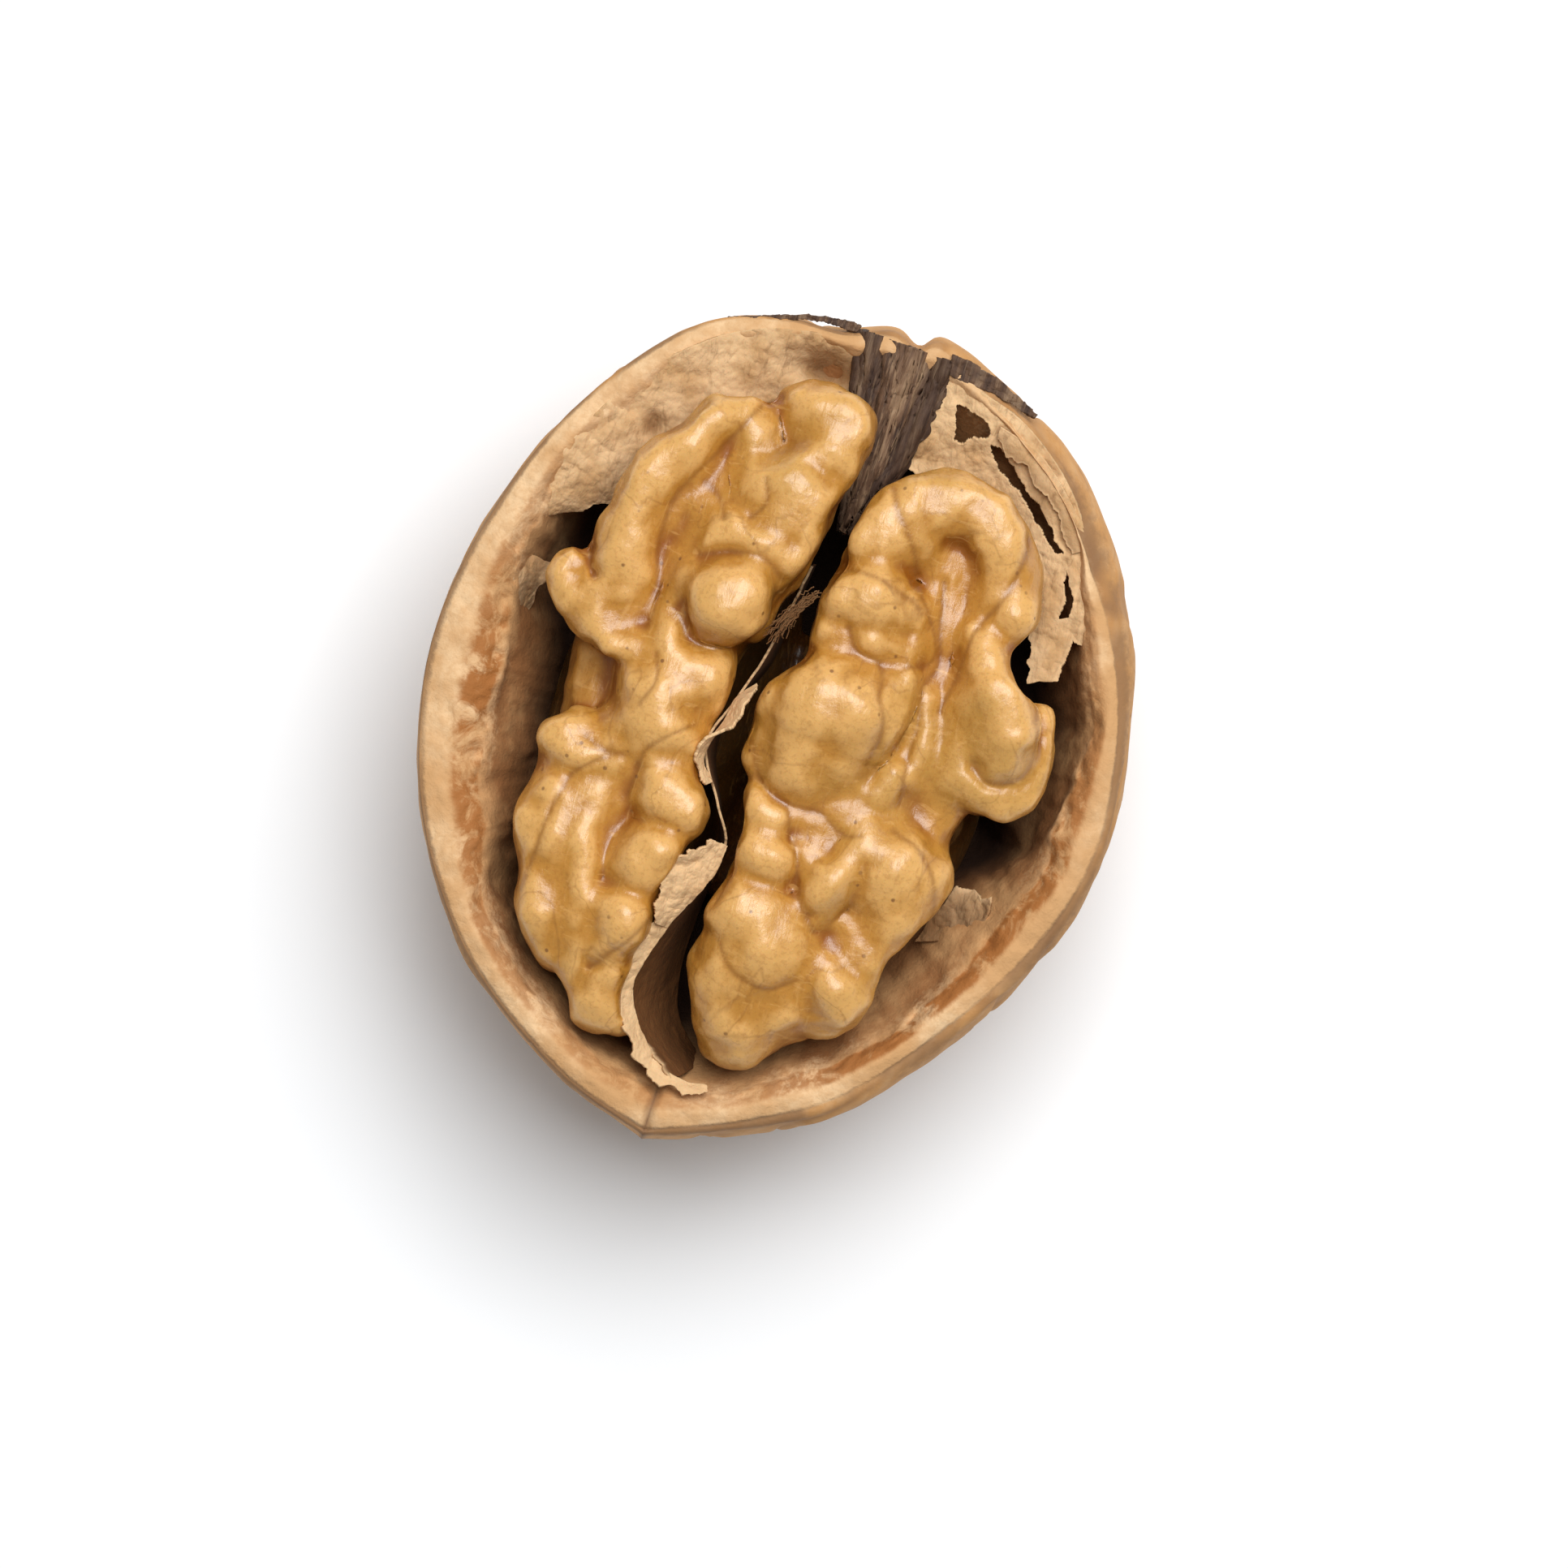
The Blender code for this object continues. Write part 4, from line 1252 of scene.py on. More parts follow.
@dataclass
class Kernel:
    """The whole kernel: two folded lobes on top and the plain ones below."""

    skin: KernelSkin = KernelSkin()

    def build(self) -> None:
        """Builds the lobes and dresses them."""
        material = self.skin.make()
        lobes = [
            Lobe("kernel_left_lobe", LEFT_FOLDS, LEFT_BODIES, LEFT_CREASES, LEFT_OUTLINE),
            Lobe("kernel_right_lobe", RIGHT_FOLDS, RIGHT_BODIES, RIGHT_CREASES, RIGHT_OUTLINE,
                 seed=40.0),
            Lobe("kernel_lower_lobes", {}, LOW_BODIES, [], step=0.34, melt=0.5, seed=80.0),
        ]
        for lobe in lobes:
            show(lobe.build(), material, "kernel")


# ----------------------------------------------------------------------------------------- shell

WIDEST_LINE: list[Place] = [
    (17.42, 0.4), (16.8, 5.2), (15.3, 10.0), (12.8, 14.3), (9.7, 17.5), (6.0, 19.6),
    (2.2, 21.1), (0.9, 20.4), (-0.4, 20.8), (-2.8, 20.0), (-5.8, 19.7), (-9.2, 18.4),
    (-12.2, 15.5), (-14.8, 11.2), (-16.5, 6.3), (-17.4, 1.0), (-17.0, -3.8), (-15.3, -9.0),
    (-12.4, -13.5), (-8.8, -16.9), (-4.6, -19.4), (-0.5, -20.8), (0.5, -20.8), (4.6, -19.3),
    (8.8, -17.0), (12.2, -13.3), (15.1, -8.8), (16.9, -4.2),
]  # fmt: skip
RIM_INSIDE: list[Place] = [
    (14.5, 0.0), (14.8, 3.0), (14.7, 5.0), (13.6, 8.0), (11.8, 12.4), (9.6, 15.4),
    (6.4, 17.7), (2.6, 18.7), (-1.0, 18.9), (-4.4, 18.6), (-7.6, 17.3), (-10.4, 14.6),
    (-12.4, 11.8), (-13.6, 8.4), (-14.4, 5.6), (-14.2, 3.0), (-13.8, 0.6), (-13.5, -2.2),
    (-13.0, -5.2), (-12.4, -8.0), (-11.2, -11.4), (-9.0, -14.0), (-6.2, -16.0),
    (-3.0, -17.7), (0.0, -18.0), (3.7, -17.3), (6.0, -15.7), (8.6, -13.7), (10.4, -11.4),
    (11.8, -9.2), (12.6, -7.6), (13.3, -5.6), (14.1, -3.6), (14.7, -1.8),
]  # fmt: skip


@dataclass
class HalfShell:
    """The woody half shell with its broken rim, its seam and the lining inside."""

    finish: ShellWood = ShellWood()
    rim_height: float = 17.0
    widest_drop: float = 3.0
    fullness: float = 2.2
    rest_cut: float = 0.3  # how much of the round underside the flat spot takes off
    flat_share: float = 0.12  # the share of the outer face's rows that lie on the flat spot
    widest_share: float = 0.74  # and the share that lies under the widest line
    seam_half: float = 0.16
    round_steps: int = 600
    outer_steps: int = 90
    rim_steps: int = 24
    inner_steps: int = 44
    # How rusty the rim is, by angle in degrees from +X.
    rusty: tuple[Place, ...] = (
        (0, 0.95), (15, 0.7), (30, 0.35), (60, 0.15), (120, 0.1), (150, 0.35), (170, 0.8),
        (185, 1.0), (215, 0.95), (235, 0.7), (250, 0.5), (280, 0.5), (300, 0.95), (330, 1.0),
        (345, 1.0), (360, 0.95),
    )  # fmt: skip
    # How far the rim's outer edge lies inside the widest line, by angle in degrees from +X.
    tuck: tuple[Place, ...] = (
        (0, 0.5), (25, 0.8), (45, 1.5), (65, 1.5), (80, 0.9), (95, 0.4), (110, 0.3),
        (135, 0.25), (180, 0.2), (230, 0.25), (262, 0.4), (275, 0.6), (300, 1.0), (320, 1.0),
        (340, 0.8), (360, 0.5),
    )  # fmt: skip
    # How far in the wall reaches at each height, as a share of the rim's inner edge, where it is
    # steep and where the lining slopes in.
    steep: tuple[Place, ...] = (
        (0.0, 1.5), (0.35, 1.9), (0.58, 3.6), (0.76, 6.4), (0.87, 9.4), (0.935, 12.4),
        (0.965, 14.6), (0.985, 16.0), (1.0, 17.0),
    )  # fmt: skip
    sloping: tuple[Place, ...] = (
        (0.0, 1.5), (0.30, 2.2), (0.52, 4.6), (0.66, 7.8), (0.74, 10.6), (0.81, 12.8),
        (0.875, 14.4), (0.945, 15.8), (1.0, 17.0),
    )  # fmt: skip
    # Where the lining slopes in, by angle in degrees from +X.
    slope_at: tuple[Place, ...] = (
        (0, 0.1), (40, 0.1), (70, 0.6), (110, 0.6), (150, 0.1), (164, 0.1), (176, 0.55),
        (205, 0.6), (222, 0.35), (250, 0.2), (285, 0.4), (300, 0.8), (330, 0.95), (342, 0.6),
        (352, 0.2), (360, 0.1),
    )  # fmt: skip

    def build(self) -> None:
        """Builds the shell and dresses it."""
        rows = self.outer_steps + self.rim_steps + self.inner_steps
        mesh, around, up = grid("half_shell_wood", self.round_steps, rows)
        angle = 2 * math.pi * around
        degrees = np.degrees(angle) % 360.0
        row = np.rint(up * rows)
        out_share = np.clip(row / self.outer_steps, 0.0, 1.0)
        rim_share = np.clip((row - self.outer_steps) / self.rim_steps, 0.0, 1.0)
        in_share = np.clip((row - self.outer_steps - self.rim_steps) / self.inner_steps, 0.0, 1.0)
        within = in_share > 0.0
        on_rim = (row > self.outer_steps) & ~within
        widest, edge_out, edge_in = self._edges(angle, degrees)
        radius, height = self._outer_face(out_share, widest, edge_out)
        crown = 0.28 * np.sin(math.pi * rim_share) - 0.5 * rim_share**3
        radius = np.where(on_rim, edge_out + (edge_in - edge_out) * rim_share, radius)
        height = np.where(on_rim, self.rim_height + crown, height)
        share, level = self._cavity(in_share, read_table(self.slope_at, degrees))
        level = level - 0.5 * smooth_step(12.0, 17.0, level)
        radius = np.where(within, edge_in * share, radius)
        height = np.where(within, level, height)
        places = np.column_stack([radius * np.cos(angle), radius * np.sin(angle), height])
        places, furrow = self._roughened(places, row, rim_share, in_share)
        move_points(mesh, places)
        across = np.where(within, 1.0 + in_share, rim_share)
        across = np.where(row < self.outer_steps, out_share - 1.0, across)
        mark(mesh, "across", across)
        # How far down the cavity each vertex lies, for the lining's painted shade.
        mark(mesh, "depth", np.clip((16.6 - places[:, 2]) / 12.0, 0.0, 1.0) * within)
        mark(mesh, "furrow", furrow)
        mark(mesh, "rust", read_table(self.rusty, degrees))
        mark(mesh, "seam", self._seam(places) * (row >= self.outer_steps * 0.4))
        weld(mesh, 2e-3)
        show(mesh, self.finish.make(), "half_shell")

    def _edges(self, angle: Points, degrees: Points) -> tuple[Points, Points, Points]:
        """Finds the outlines that the wall runs through, with the rim's edges left ragged.

        Args:
            angle: The angle of each vertex about Z, in radians.
            degrees: The same in degrees.

        Returns:
            The radius of the widest line and of the rim's outer and inner edges.
        """
        widest = RadiusRound(WIDEST_LINE).at(angle)
        ring = np.column_stack([9.0 * np.cos(angle), 9.0 * np.sin(angle), np.zeros_like(angle)])
        edge_out = widest - read_table(self.tuck, degrees) + 0.06 * cloud(ring, 2.4, 4)
        ragged = 0.26 * cloud(ring, 1.5, 5, 7.0) + 0.30 * cloud(ring, 3.4, 3, 12.0)
        # The inner edge is nearly smooth just left of the tip.
        quiet = smooth_step(0.0, 14.0, np.abs(degrees - 255.0)) * 0.75 + 0.25
        return widest, edge_out, RadiusRound(RIM_INSIDE).at(angle) + ragged * quiet

    def _outer_face(self, share: Points, widest: Points, edge: Points) -> tuple[Points, Points]:
        """Shapes the outer face, from the middle of the flat spot to the rim.

        Args:
            share: How far along the way each vertex lies, from 0 to 1.
            widest: The radius of the widest line.
            edge: The radius of the rim's outer edge.

        Returns:
            The radius and height of each vertex.
        """
        power = 2 / self.fullness
        line = self.rim_height - self.widest_drop
        deep = line + self.rest_cut
        last = math.asin((1.0 - self.rest_cut / deep) ** (self.fullness / 2))
        flat = math.cos(last) ** power
        round_share = self.widest_share - self.flat_share
        turn = last * (1.0 - np.clip((share - self.flat_share) / round_share, 0.0, 1.0))
        radius = widest * np.cos(turn) ** power
        height = line - deep * np.abs(np.sin(turn)) ** power
        on_flat = share < self.flat_share
        radius = np.where(on_flat, widest * flat * share / self.flat_share, radius)
        height = np.where(on_flat, 0.0, np.maximum(height, 0.0))
        above = np.clip((share - self.widest_share) / (1.0 - self.widest_share), 0.0, 1.0)
        top = line + self.widest_drop * np.sin(above * math.pi / 2)
        radius = np.where(above > 0, widest + (edge - widest) * above**2.2, radius)
        return radius, np.where(above > 0, top, height)

    def _cavity(self, share: Points, slope: Points) -> tuple[Points, Points]:
        """Shapes the inside, from the rim down to the floor.

        Args:
            share: How far along the way each vertex lies, from 0 to 1.
            slope: How much the lining slopes in there, from 0 to 1.

        Returns:
            The radius as a share of the rim's inner edge, and the height.
        """
        found = []
        for profile in (self.steep, self.sloping):
            curve = smooth_curve(list(reversed(profile)), 200)
            steps = np.hypot(*np.diff(curve * (14.0, 1.0), axis=0).T)
            walked = np.concatenate([[0.0], np.cumsum(steps)]) / steps.sum()
            found.append([np.interp(share, walked, curve[:, i]) for i in (0, 1)])
        (a, b), (c, d) = found
        return a + (c - a) * slope, b + (d - b) * slope

    def _seam(self, places: Points) -> Points:
        """Tells how deep in the shell's own seam, at the tip, each point lies."""
        off = np.abs(places[:, 0] - 0.05 * np.sin(3.0 * places[:, 1]))
        return np.exp(-((off / self.seam_half) ** 2)) * smooth_step(-17.6, -18.6, places[:, 1])

    def _roughened(
        self, places: Points, row: Points, rim_share: Points, in_share: Points
    ) -> tuple[Points, Points]:
        """Adds the outside's furrows, the rim's crumbs and the lining's folds.

        Args:
            places: The smooth shell.
            row: The row of each vertex, from the flat spot round to the cavity's floor.
            rim_share: How far across the rim it is.
            in_share: How far down the inside it is.

        Returns:
            The moved vertices, and how deep in a furrow each lies.
        """
        out = places / np.maximum(np.linalg.norm(places[:, :2], axis=1), 1e-6)[:, None]
        out[:, 2] = 0.0
        outside = row < self.outer_steps
        within = in_share > 0.0
        on_rim = ~outside & ~within
        crumbs = cloud(places, 0.9, 5, 70.0)
        # The outer face swells, and its furrows run lengthwise. They fade out at both edges.
        bend = np.column_stack([cloud(places, 5.0, 3, s) for s in (1.0, 2.0, 3.0)])
        long = (places + 1.3 * bend) * (1.0, 0.36, 1.0)
        furrow = 1.0 - smooth_step(0.0, 0.16, np.abs(cloud(long, 4.6, 1, 60.0)))
        swell = cloud(places, 6.0, 3, 64.0)
        fade = smooth_step(0.0, 1.6, places[:, 2]) * (1 - smooth_step(16.2, 17.0, places[:, 2]))
        push = outside * fade * (0.22 * swell - 0.22 * furrow)
        # The rim is crumbly, and broken down along its inner half.
        waves = cloud(places, 3.2, 4, 73.0)
        fine = cloud(places, 0.35, 3, 76.0)
        band = np.sin(math.pi * rim_share) ** 0.5
        lift = on_rim * band * (0.09 * crumbs + 0.16 * waves + 0.03 * fine)
        broken = np.abs(cloud(places, 1.3, 4, 79.0))
        lift -= 0.55 * (on_rim * smooth_step(0.5, 1.0, rim_share) * broken)
        # The lining hangs in soft upright folds.
        fold = cloud(places * (1.0, 1.0, 0.45), 2.6, 4, 83.0)
        push = push + within * smooth_step(0.0, 0.06, in_share) * (0.35 * fold + 0.10 * crumbs)
        places = places + out * push[:, None]
        places[:, 2] += lift
        places[:, 2] -= 0.45 * self._seam(places) * ~outside
        return places, furrow


# ----------------------------------------------------------------------------------- papery parts


@dataclass
class Sheet:
    """A thin dry sheet between two edges, wrinkled, torn and pierced."""

    name: str
    node: str
    first: list[Place]  # the edge it grows from: x, y, height
    last: list[Place]  # its torn edge, the same way along
    columns: int = 260
    rows: int = 60
    wall: float = 0.16
    wrinkle: float = 0.35
    fray: float = 0.35
    sag: float = 0.0
    holes: list[list[Place]] = field(default_factory=list)
    dents: list[Place] = field(default_factory=list)  # x, y, half width, half length, depth
    torn_width: float = 0.5
    shaded: tuple[float, float] = (0.0, 0.0)  # how much painted shade darkens it at its first and last edge
    seed: float = 0.0

    def build(self, material: bpy.types.Material) -> None:
        """Builds the sheet and dresses it.

        Args:
            material: The finish of all the papery parts.
        """
        mesh, along, across = grid(self.name, self.columns, self.rows)
        a, b = (spread(edge, along, 600) for edge in (self.first, self.last))
        width = np.linalg.norm(b - a, axis=1)
        out = b - a
        out /= np.maximum(width, 1e-6)[:, None]
        frayed = smooth_step(0.55, 1.0, across) * self.fray * cloud(b, 0.9, 5, self.seed + 3.0)
        places = a + (b - a) * across[:, None] + out * frayed[:, None]
        folds = cloud(places, 2.2, 4, self.seed + 11.0) + 0.35 * cloud(places, 0.6, 4, self.seed)
        places[:, 2] += self.wrinkle * folds - self.sag * np.sin(math.pi * across)
        shade = self.shaded[0] + (self.shaded[1] - self.shaded[0]) * across**2
        # Each dent also gets painted shade, darkest at its middle.
        for x, y, half_x, half_y, deep in self.dents:
            near = ((places[:, 0] - x) / half_x) ** 2 + ((places[:, 1] - y) / half_y) ** 2
            dent = np.exp(-near)
            places[:, 2] -= deep * dent
            shade = np.maximum(shade, 0.75 * dent)
        crossways = np.cross(out, (0.0, 0.0, 1.0))
        places += crossways * (0.5 * self.wrinkle * cloud(places, 1.6, 3, self.seed + 5.0))[:, None]
        move_points(mesh, places)
        edge = np.exp(-(((1.0 - across) * width / self.torn_width) ** 2))
        gone, round_holes = self._pierced(places)
        edge = np.maximum(edge, round_holes)
        speckle = 0.5 + 0.5 * cloud(places, 0.7, 3, self.seed + 8.0)
        mark(mesh, "torn", np.clip(edge * (0.4 + speckle), 0.0, 1.0))
        mark(mesh, "shade", shade)
        if self.holes:
            pierce(mesh, gone)
        thicken(show(mesh, material, self.node), self.wall)

    def _pierced(self, places: Points) -> tuple[Points, Points]:
        """Finds the holes, whose edges wander a little.

        Args:
            places: The sheet's vertices.

        Returns:
            Whether each vertex lies in a hole, and how near to a hole's edge it lies, up to 1.
        """
        gone = np.zeros(len(places), bool)
        near = np.zeros(len(places))
        wobbly = places[:, :2] + 0.12 * np.column_stack(
            [cloud(places, 0.5, 3, self.seed + s) for s in (1.0, 2.0)]
        )
        for corners in self.holes:
            gone |= inside(wobbly, corners)
            ring = np.array([*corners, corners[0]])
            near = np.maximum(near, np.exp(-((near_line(wobbly, ring) / 0.25) ** 2)))
        return gone, near


LEFT_LEDGE = Sheet(
    "paper_left",
    "partition_left",
    first=[(-1.4, 19.3, 16.9), (-4.6, 19.2, 17.1), (-7.8, 18.1, 17.2), (-11.0, 15.4, 17.1),
           (-13.1, 12.2, 17.0), (-14.4, 8.8, 16.9), (-14.9, 5.9, 16.4)],
    last=[(-1.2, 16.2, 15.2), (-4.2, 14.6, 15.4), (-6.6, 13.2, 15.6), (-8.6, 11.6, 15.6),
          (-10.0, 9.6, 15.6), (-11.3, 8.2, 15.2), (-13.6, 7.0, 15.4)],
    columns=330,
    rows=80,
    wrinkle=0.26,
    dents=[(-3.1, 17.7, 1.5, 0.75, 1.8), (-10.3, 12.5, 0.5, 0.6, 0.7)],
    shaded=(0.0, 0.35),
    seed=120.0,
)  # fmt: skip
LEFT_SCRAP = Sheet(
    "paper_left_scrap",
    "partition_left",
    first=[(-14.8, 4.9, 16.2), (-14.6, 3.6, 16.2), (-14.2, 2.2, 15.8)],
    last=[(-12.9, 4.6, 14.2), (-13.0, 3.4, 14.2), (-13.4, 2.0, 13.8)],
    columns=60,
    rows=40,
    shaded=(0.35, 0.8),
    seed=140.0,
)  # fmt: skip
RIGHT_LEDGE = Sheet(
    "paper_right",
    "partition_right",
    first=[(2.6, 19.4, 17.0), (4.6, 19.0, 17.1), (7.2, 18.1, 17.1), (10.2, 15.8, 17.0),
           (12.2, 12.8, 16.8), (13.6, 9.6, 16.4), (13.8, 7.4, 15.8)],
    last=[(2.2, 14.2, 15.6), (4.2, 14.4, 15.4), (6.2, 14.4, 15.3), (8.2, 13.2, 15.5),
          (9.6, 11.2, 15.8), (10.2, 9.0, 15.8), (11.2, 6.2, 15.8)],
    columns=320,
    rows=90,
    wrinkle=0.24,
    holes=[
        [(3.5, 18.2), (4.3, 18.1), (5.3, 17.7), (5.6, 17.3), (5.5, 16.9), (4.9, 16.8),
         (4.3, 16.3), (4.0, 16.4), (3.8, 17.1), (3.6, 17.6)],
        [(5.7, 16.8), (6.4, 16.7), (7.2, 16.1), (8.2, 15.2), (9.3, 14.4), (10.8, 12.7),
         (10.4, 12.6), (9.1, 13.8), (8.0, 14.8), (6.9, 15.5), (6.1, 16.0)],
        [(11.2, 12.1), (11.6, 11.6), (12.0, 10.7), (12.1, 9.8), (11.6, 9.6), (11.6, 10.6),
         (11.3, 11.4)],
        [(12.6, 8.9), (13.2, 8.8), (13.9, 8.9), (14.2, 7.0), (13.2, 5.8), (12.5, 6.2),
         (12.4, 7.4)],
    ],
    shaded=(0.0, 0.1),
    seed=160.0,
)  # fmt: skip
RIGHT_TORN = Sheet(
    "paper_right_torn",
    "partition_right",
    first=[(6.0, 17.7, 17.1), (8.2, 17.0, 17.2), (10.2, 15.4, 17.1), (12.0, 13.4, 16.9)],
    last=[(6.0, 17.0, 16.8), (7.9, 15.9, 16.9), (9.8, 14.5, 16.9), (11.2, 12.8, 16.7)],
    columns=160,
    rows=30,
    wrinkle=0.14,
    shaded=(0.0, 0.7),
    torn_width=0.12,
    seed=180.0,
)  # fmt: skip
RIGHT_SCRAP = Sheet(
    "paper_right_scrap",
    "partition_right",
    first=[(9.8, -7.6, 13.6), (11.4, -7.0, 14.4), (12.8, -5.8, 15.2)],
    last=[(11.0, -4.2, 14.6), (11.8, -4.2, 14.8), (12.7, -4.4, 15.4)],
    columns=70,
    rows=50,
    shaded=(0.75, 0.45),
    torn_width=0.25,
    seed=190.0,
)  # fmt: skip
MIDDLE_WALL = Sheet(
    "paper_middle",
    "partition_middle",
    first=[(-0.6, 8.6, 13.2), (-0.9, 5.8, 13.4), (-1.2, 3.2, 13.4), (-2.2, 0.8, 13.4),
           (-2.4, -1.8, 13.4), (-1.2, -4.6, 13.4), (-0.7, -7.0, 13.4), (-0.8, -9.6, 13.2),
           (-0.8, -12.2, 13.0), (-0.3, -14.4, 12.8), (0.8, -15.8, 12.6), (1.9, -16.4, 12.6)],
    last=[(-0.7, 8.4, 15.2), (-1.1, 5.8, 17.4), (-1.5, 3.4, 19.2), (-2.2, 1.0, 19.6),
          (-2.9, -1.6, 19.6), (-1.5, -4.1, 19.3), (-0.5, -6.2, 19.2), (-1.7, -9.6, 18.8),
          (-2.8, -12.4, 18.2), (-3.0, -14.4, 17.8), (-1.6, -16.2, 17.4), (0.6, -17.6, 17.1)],
    columns=420,
    rows=70,
    wall=0.12,
    wrinkle=0.20,
    fray=0.45,
    sag=-0.1,
    # Painted shade: the whole wall is brown, as it lies in shade between the lobes.
    shaded=(1.0, 1.0),
    torn_width=0.25,
    seed=200.0,
)  # fmt: skip
MIDDLE_FLAP = Sheet(
    "paper_middle_flap",
    "partition_middle",
    first=[(-0.4, -5.9, 19.4), (-0.6, -7.4, 19.4), (-1.3, -9.0, 19.2), (-2.0, -10.6, 18.9)],
    last=[(-1.4, -5.8, 20.2), (-2.8, -7.4, 20.6), (-2.9, -9.0, 20.4), (-2.8, -10.6, 19.8)],
    columns=140,
    rows=60,
    wrinkle=0.34,
    fray=0.5,
    torn_width=2.4,
    seed=220.0,
)  # fmt: skip
MIDDLE_LIP = Sheet(
    "paper_middle_lip",
    "partition_middle",
    first=[(-1.9, -10.3, 18.9), (-2.4, -12.0, 18.4), (-2.7, -13.8, 18.0), (-2.1, -15.2, 17.6),
           (-1.2, -16.3, 17.4), (-0.2, -17.2, 17.2), (1.2, -17.5, 17.0), (2.2, -17.4, 16.8)],
    last=[(-2.7, -10.4, 19.3), (-3.2, -12.0, 18.9), (-3.6, -13.9, 18.5), (-2.9, -15.2, 18.1),
          (-1.8, -16.5, 17.9), (-0.6, -17.7, 17.6), (1.0, -18.0, 17.3), (2.4, -17.8, 17.1)],
    columns=240,
    rows=30,
    wrinkle=0.26,
    fray=0.4,
    torn_width=1.2,
    seed=230.0,
)  # fmt: skip
MIDDLE_CURL = Sheet(
    "paper_middle_curl",
    "partition_middle",
    first=[(-1.5, 2.0, 19.2), (-2.2, 1.0, 19.6), (-2.4, -0.2, 19.8), (-2.8, -1.4, 19.8),
           (-2.8, -2.4, 19.6), (-2.1, -3.2, 19.4)],
    last=[(-1.4, 1.6, 19.8), (-1.7, 0.9, 20.7), (-1.9, -0.3, 20.9), (-2.9, -1.2, 20.7),
          (-3.2, -2.5, 20.3), (-2.3, -3.4, 19.8)],
    columns=200,
    rows=36,
    wrinkle=0.30,
    fray=0.4,
    torn_width=0.8,
    seed=240.0,
)  # fmt: skip


@dataclass
class Strand:
    """A frayed strand of fibres that bridges the two lobes."""

    line: list[Place] = field(default_factory=lambda: [
        (-1.6, 4.3, 19.8), (-1.2, 5.1, 20.1), (-0.8, 5.9, 20.4), (-0.4, 6.6, 20.7), (0.0, 7.1, 21.0)
    ])  # fmt: skip
    steps: int = 24
    fibres: int = 60
    fibre_radius: float = 0.03
    scatter: float = 0.12  # how far the fibres lie from the strand's line
    curl: float = 0.22  # how far their loose ends bend away
    kinks: float = 0.04
    starts_by: int = 6  # every fibre spans at least the steps from here to the next
    ends_after: int = 12

    def build(self, material: bpy.types.Material) -> None:
        """Builds the fibres as thin tubes and dresses them.

        Args:
            material: The finish of all the papery parts.
        """
        curve = bpy.data.curves.new("paper_strand", "CURVE")
        curve.dimensions = "3D"
        curve.bevel_depth = self.fibre_radius
        curve.bevel_resolution = 1
        curve.use_fill_caps = True
        chance = np.random.default_rng(12)
        path = smooth_curve(self.line, self.steps)
        for _ in range(self.fibres):
            places = self._fibre(path, chance)
            spline = curve.splines.new("POLY")
            spline.points.add(len(places) - 1)
            spline.points.foreach_set("co", np.column_stack([places, np.ones(len(places))]).ravel())
        guide = bpy.data.objects.new("strand_guide", curve)
        bpy.context.scene.collection.objects.link(guide)
        bpy.context.view_layer.update()
        graph = bpy.context.evaluated_depsgraph_get()
        mesh = bpy.data.meshes.new_from_object(guide.evaluated_get(graph))
        bpy.data.objects.remove(guide)
        bpy.data.curves.remove(curve)
        mesh.name = "paper_strand"
        low, high = self.line[0][1], self.line[-1][1]
        along = np.clip((points_of(mesh)[:, 1] - low) / (high - low), 0.0, 1.0)
        mark(mesh, "torn", np.zeros(len(along)))
        # Painted shade: the strand is nearly all brown, a little less towards its end nearer the
        # stem.
        mark(mesh, "shade", 0.95 - 0.1 * along)
        show(mesh, material, "partition_middle")

    def _fibre(self, path: Points, chance: np.random.Generator) -> Points:
        """Lays one fibre along a part of the strand.

        Args:
            path: The strand's line.
            chance: Where the random draws come from.

        Returns:
            The fibre's places.
        """
        start, stop = sorted(chance.choice(self.steps, 2, replace=False))
        start, stop = min(int(start), self.starts_by), max(int(stop), self.ends_after)
        shift = chance.normal(0.0, self.scatter, 3)
        curl = chance.normal(0.0, self.curl, 3)
        places = path[start : stop + 1] + shift
        away = np.linspace(1.0, 0.0, len(places))[:, None] ** 3
        return places + away * curl + self.kinks * chance.normal(0.0, 1.0, places.shape)


@dataclass
class PaperyParts:
    """All the papery tissue: a ledge on each side of the stem and the torn wall between lobes."""

    finish: Paper = Paper()
    sheets: tuple[Sheet, ...] = (
        LEFT_LEDGE, LEFT_SCRAP, RIGHT_LEDGE, RIGHT_TORN, RIGHT_SCRAP, MIDDLE_WALL,
        MIDDLE_FLAP, MIDDLE_LIP, MIDDLE_CURL,
    )  # fmt: skip

    def build(self) -> None:
        """Builds every sheet and the frayed strand."""
        material = self.finish.make()
        for sheet in self.sheets:
            sheet.build(material)
        Strand().build(material)


# ------------------------------------------------------------------------------------ stem fibres


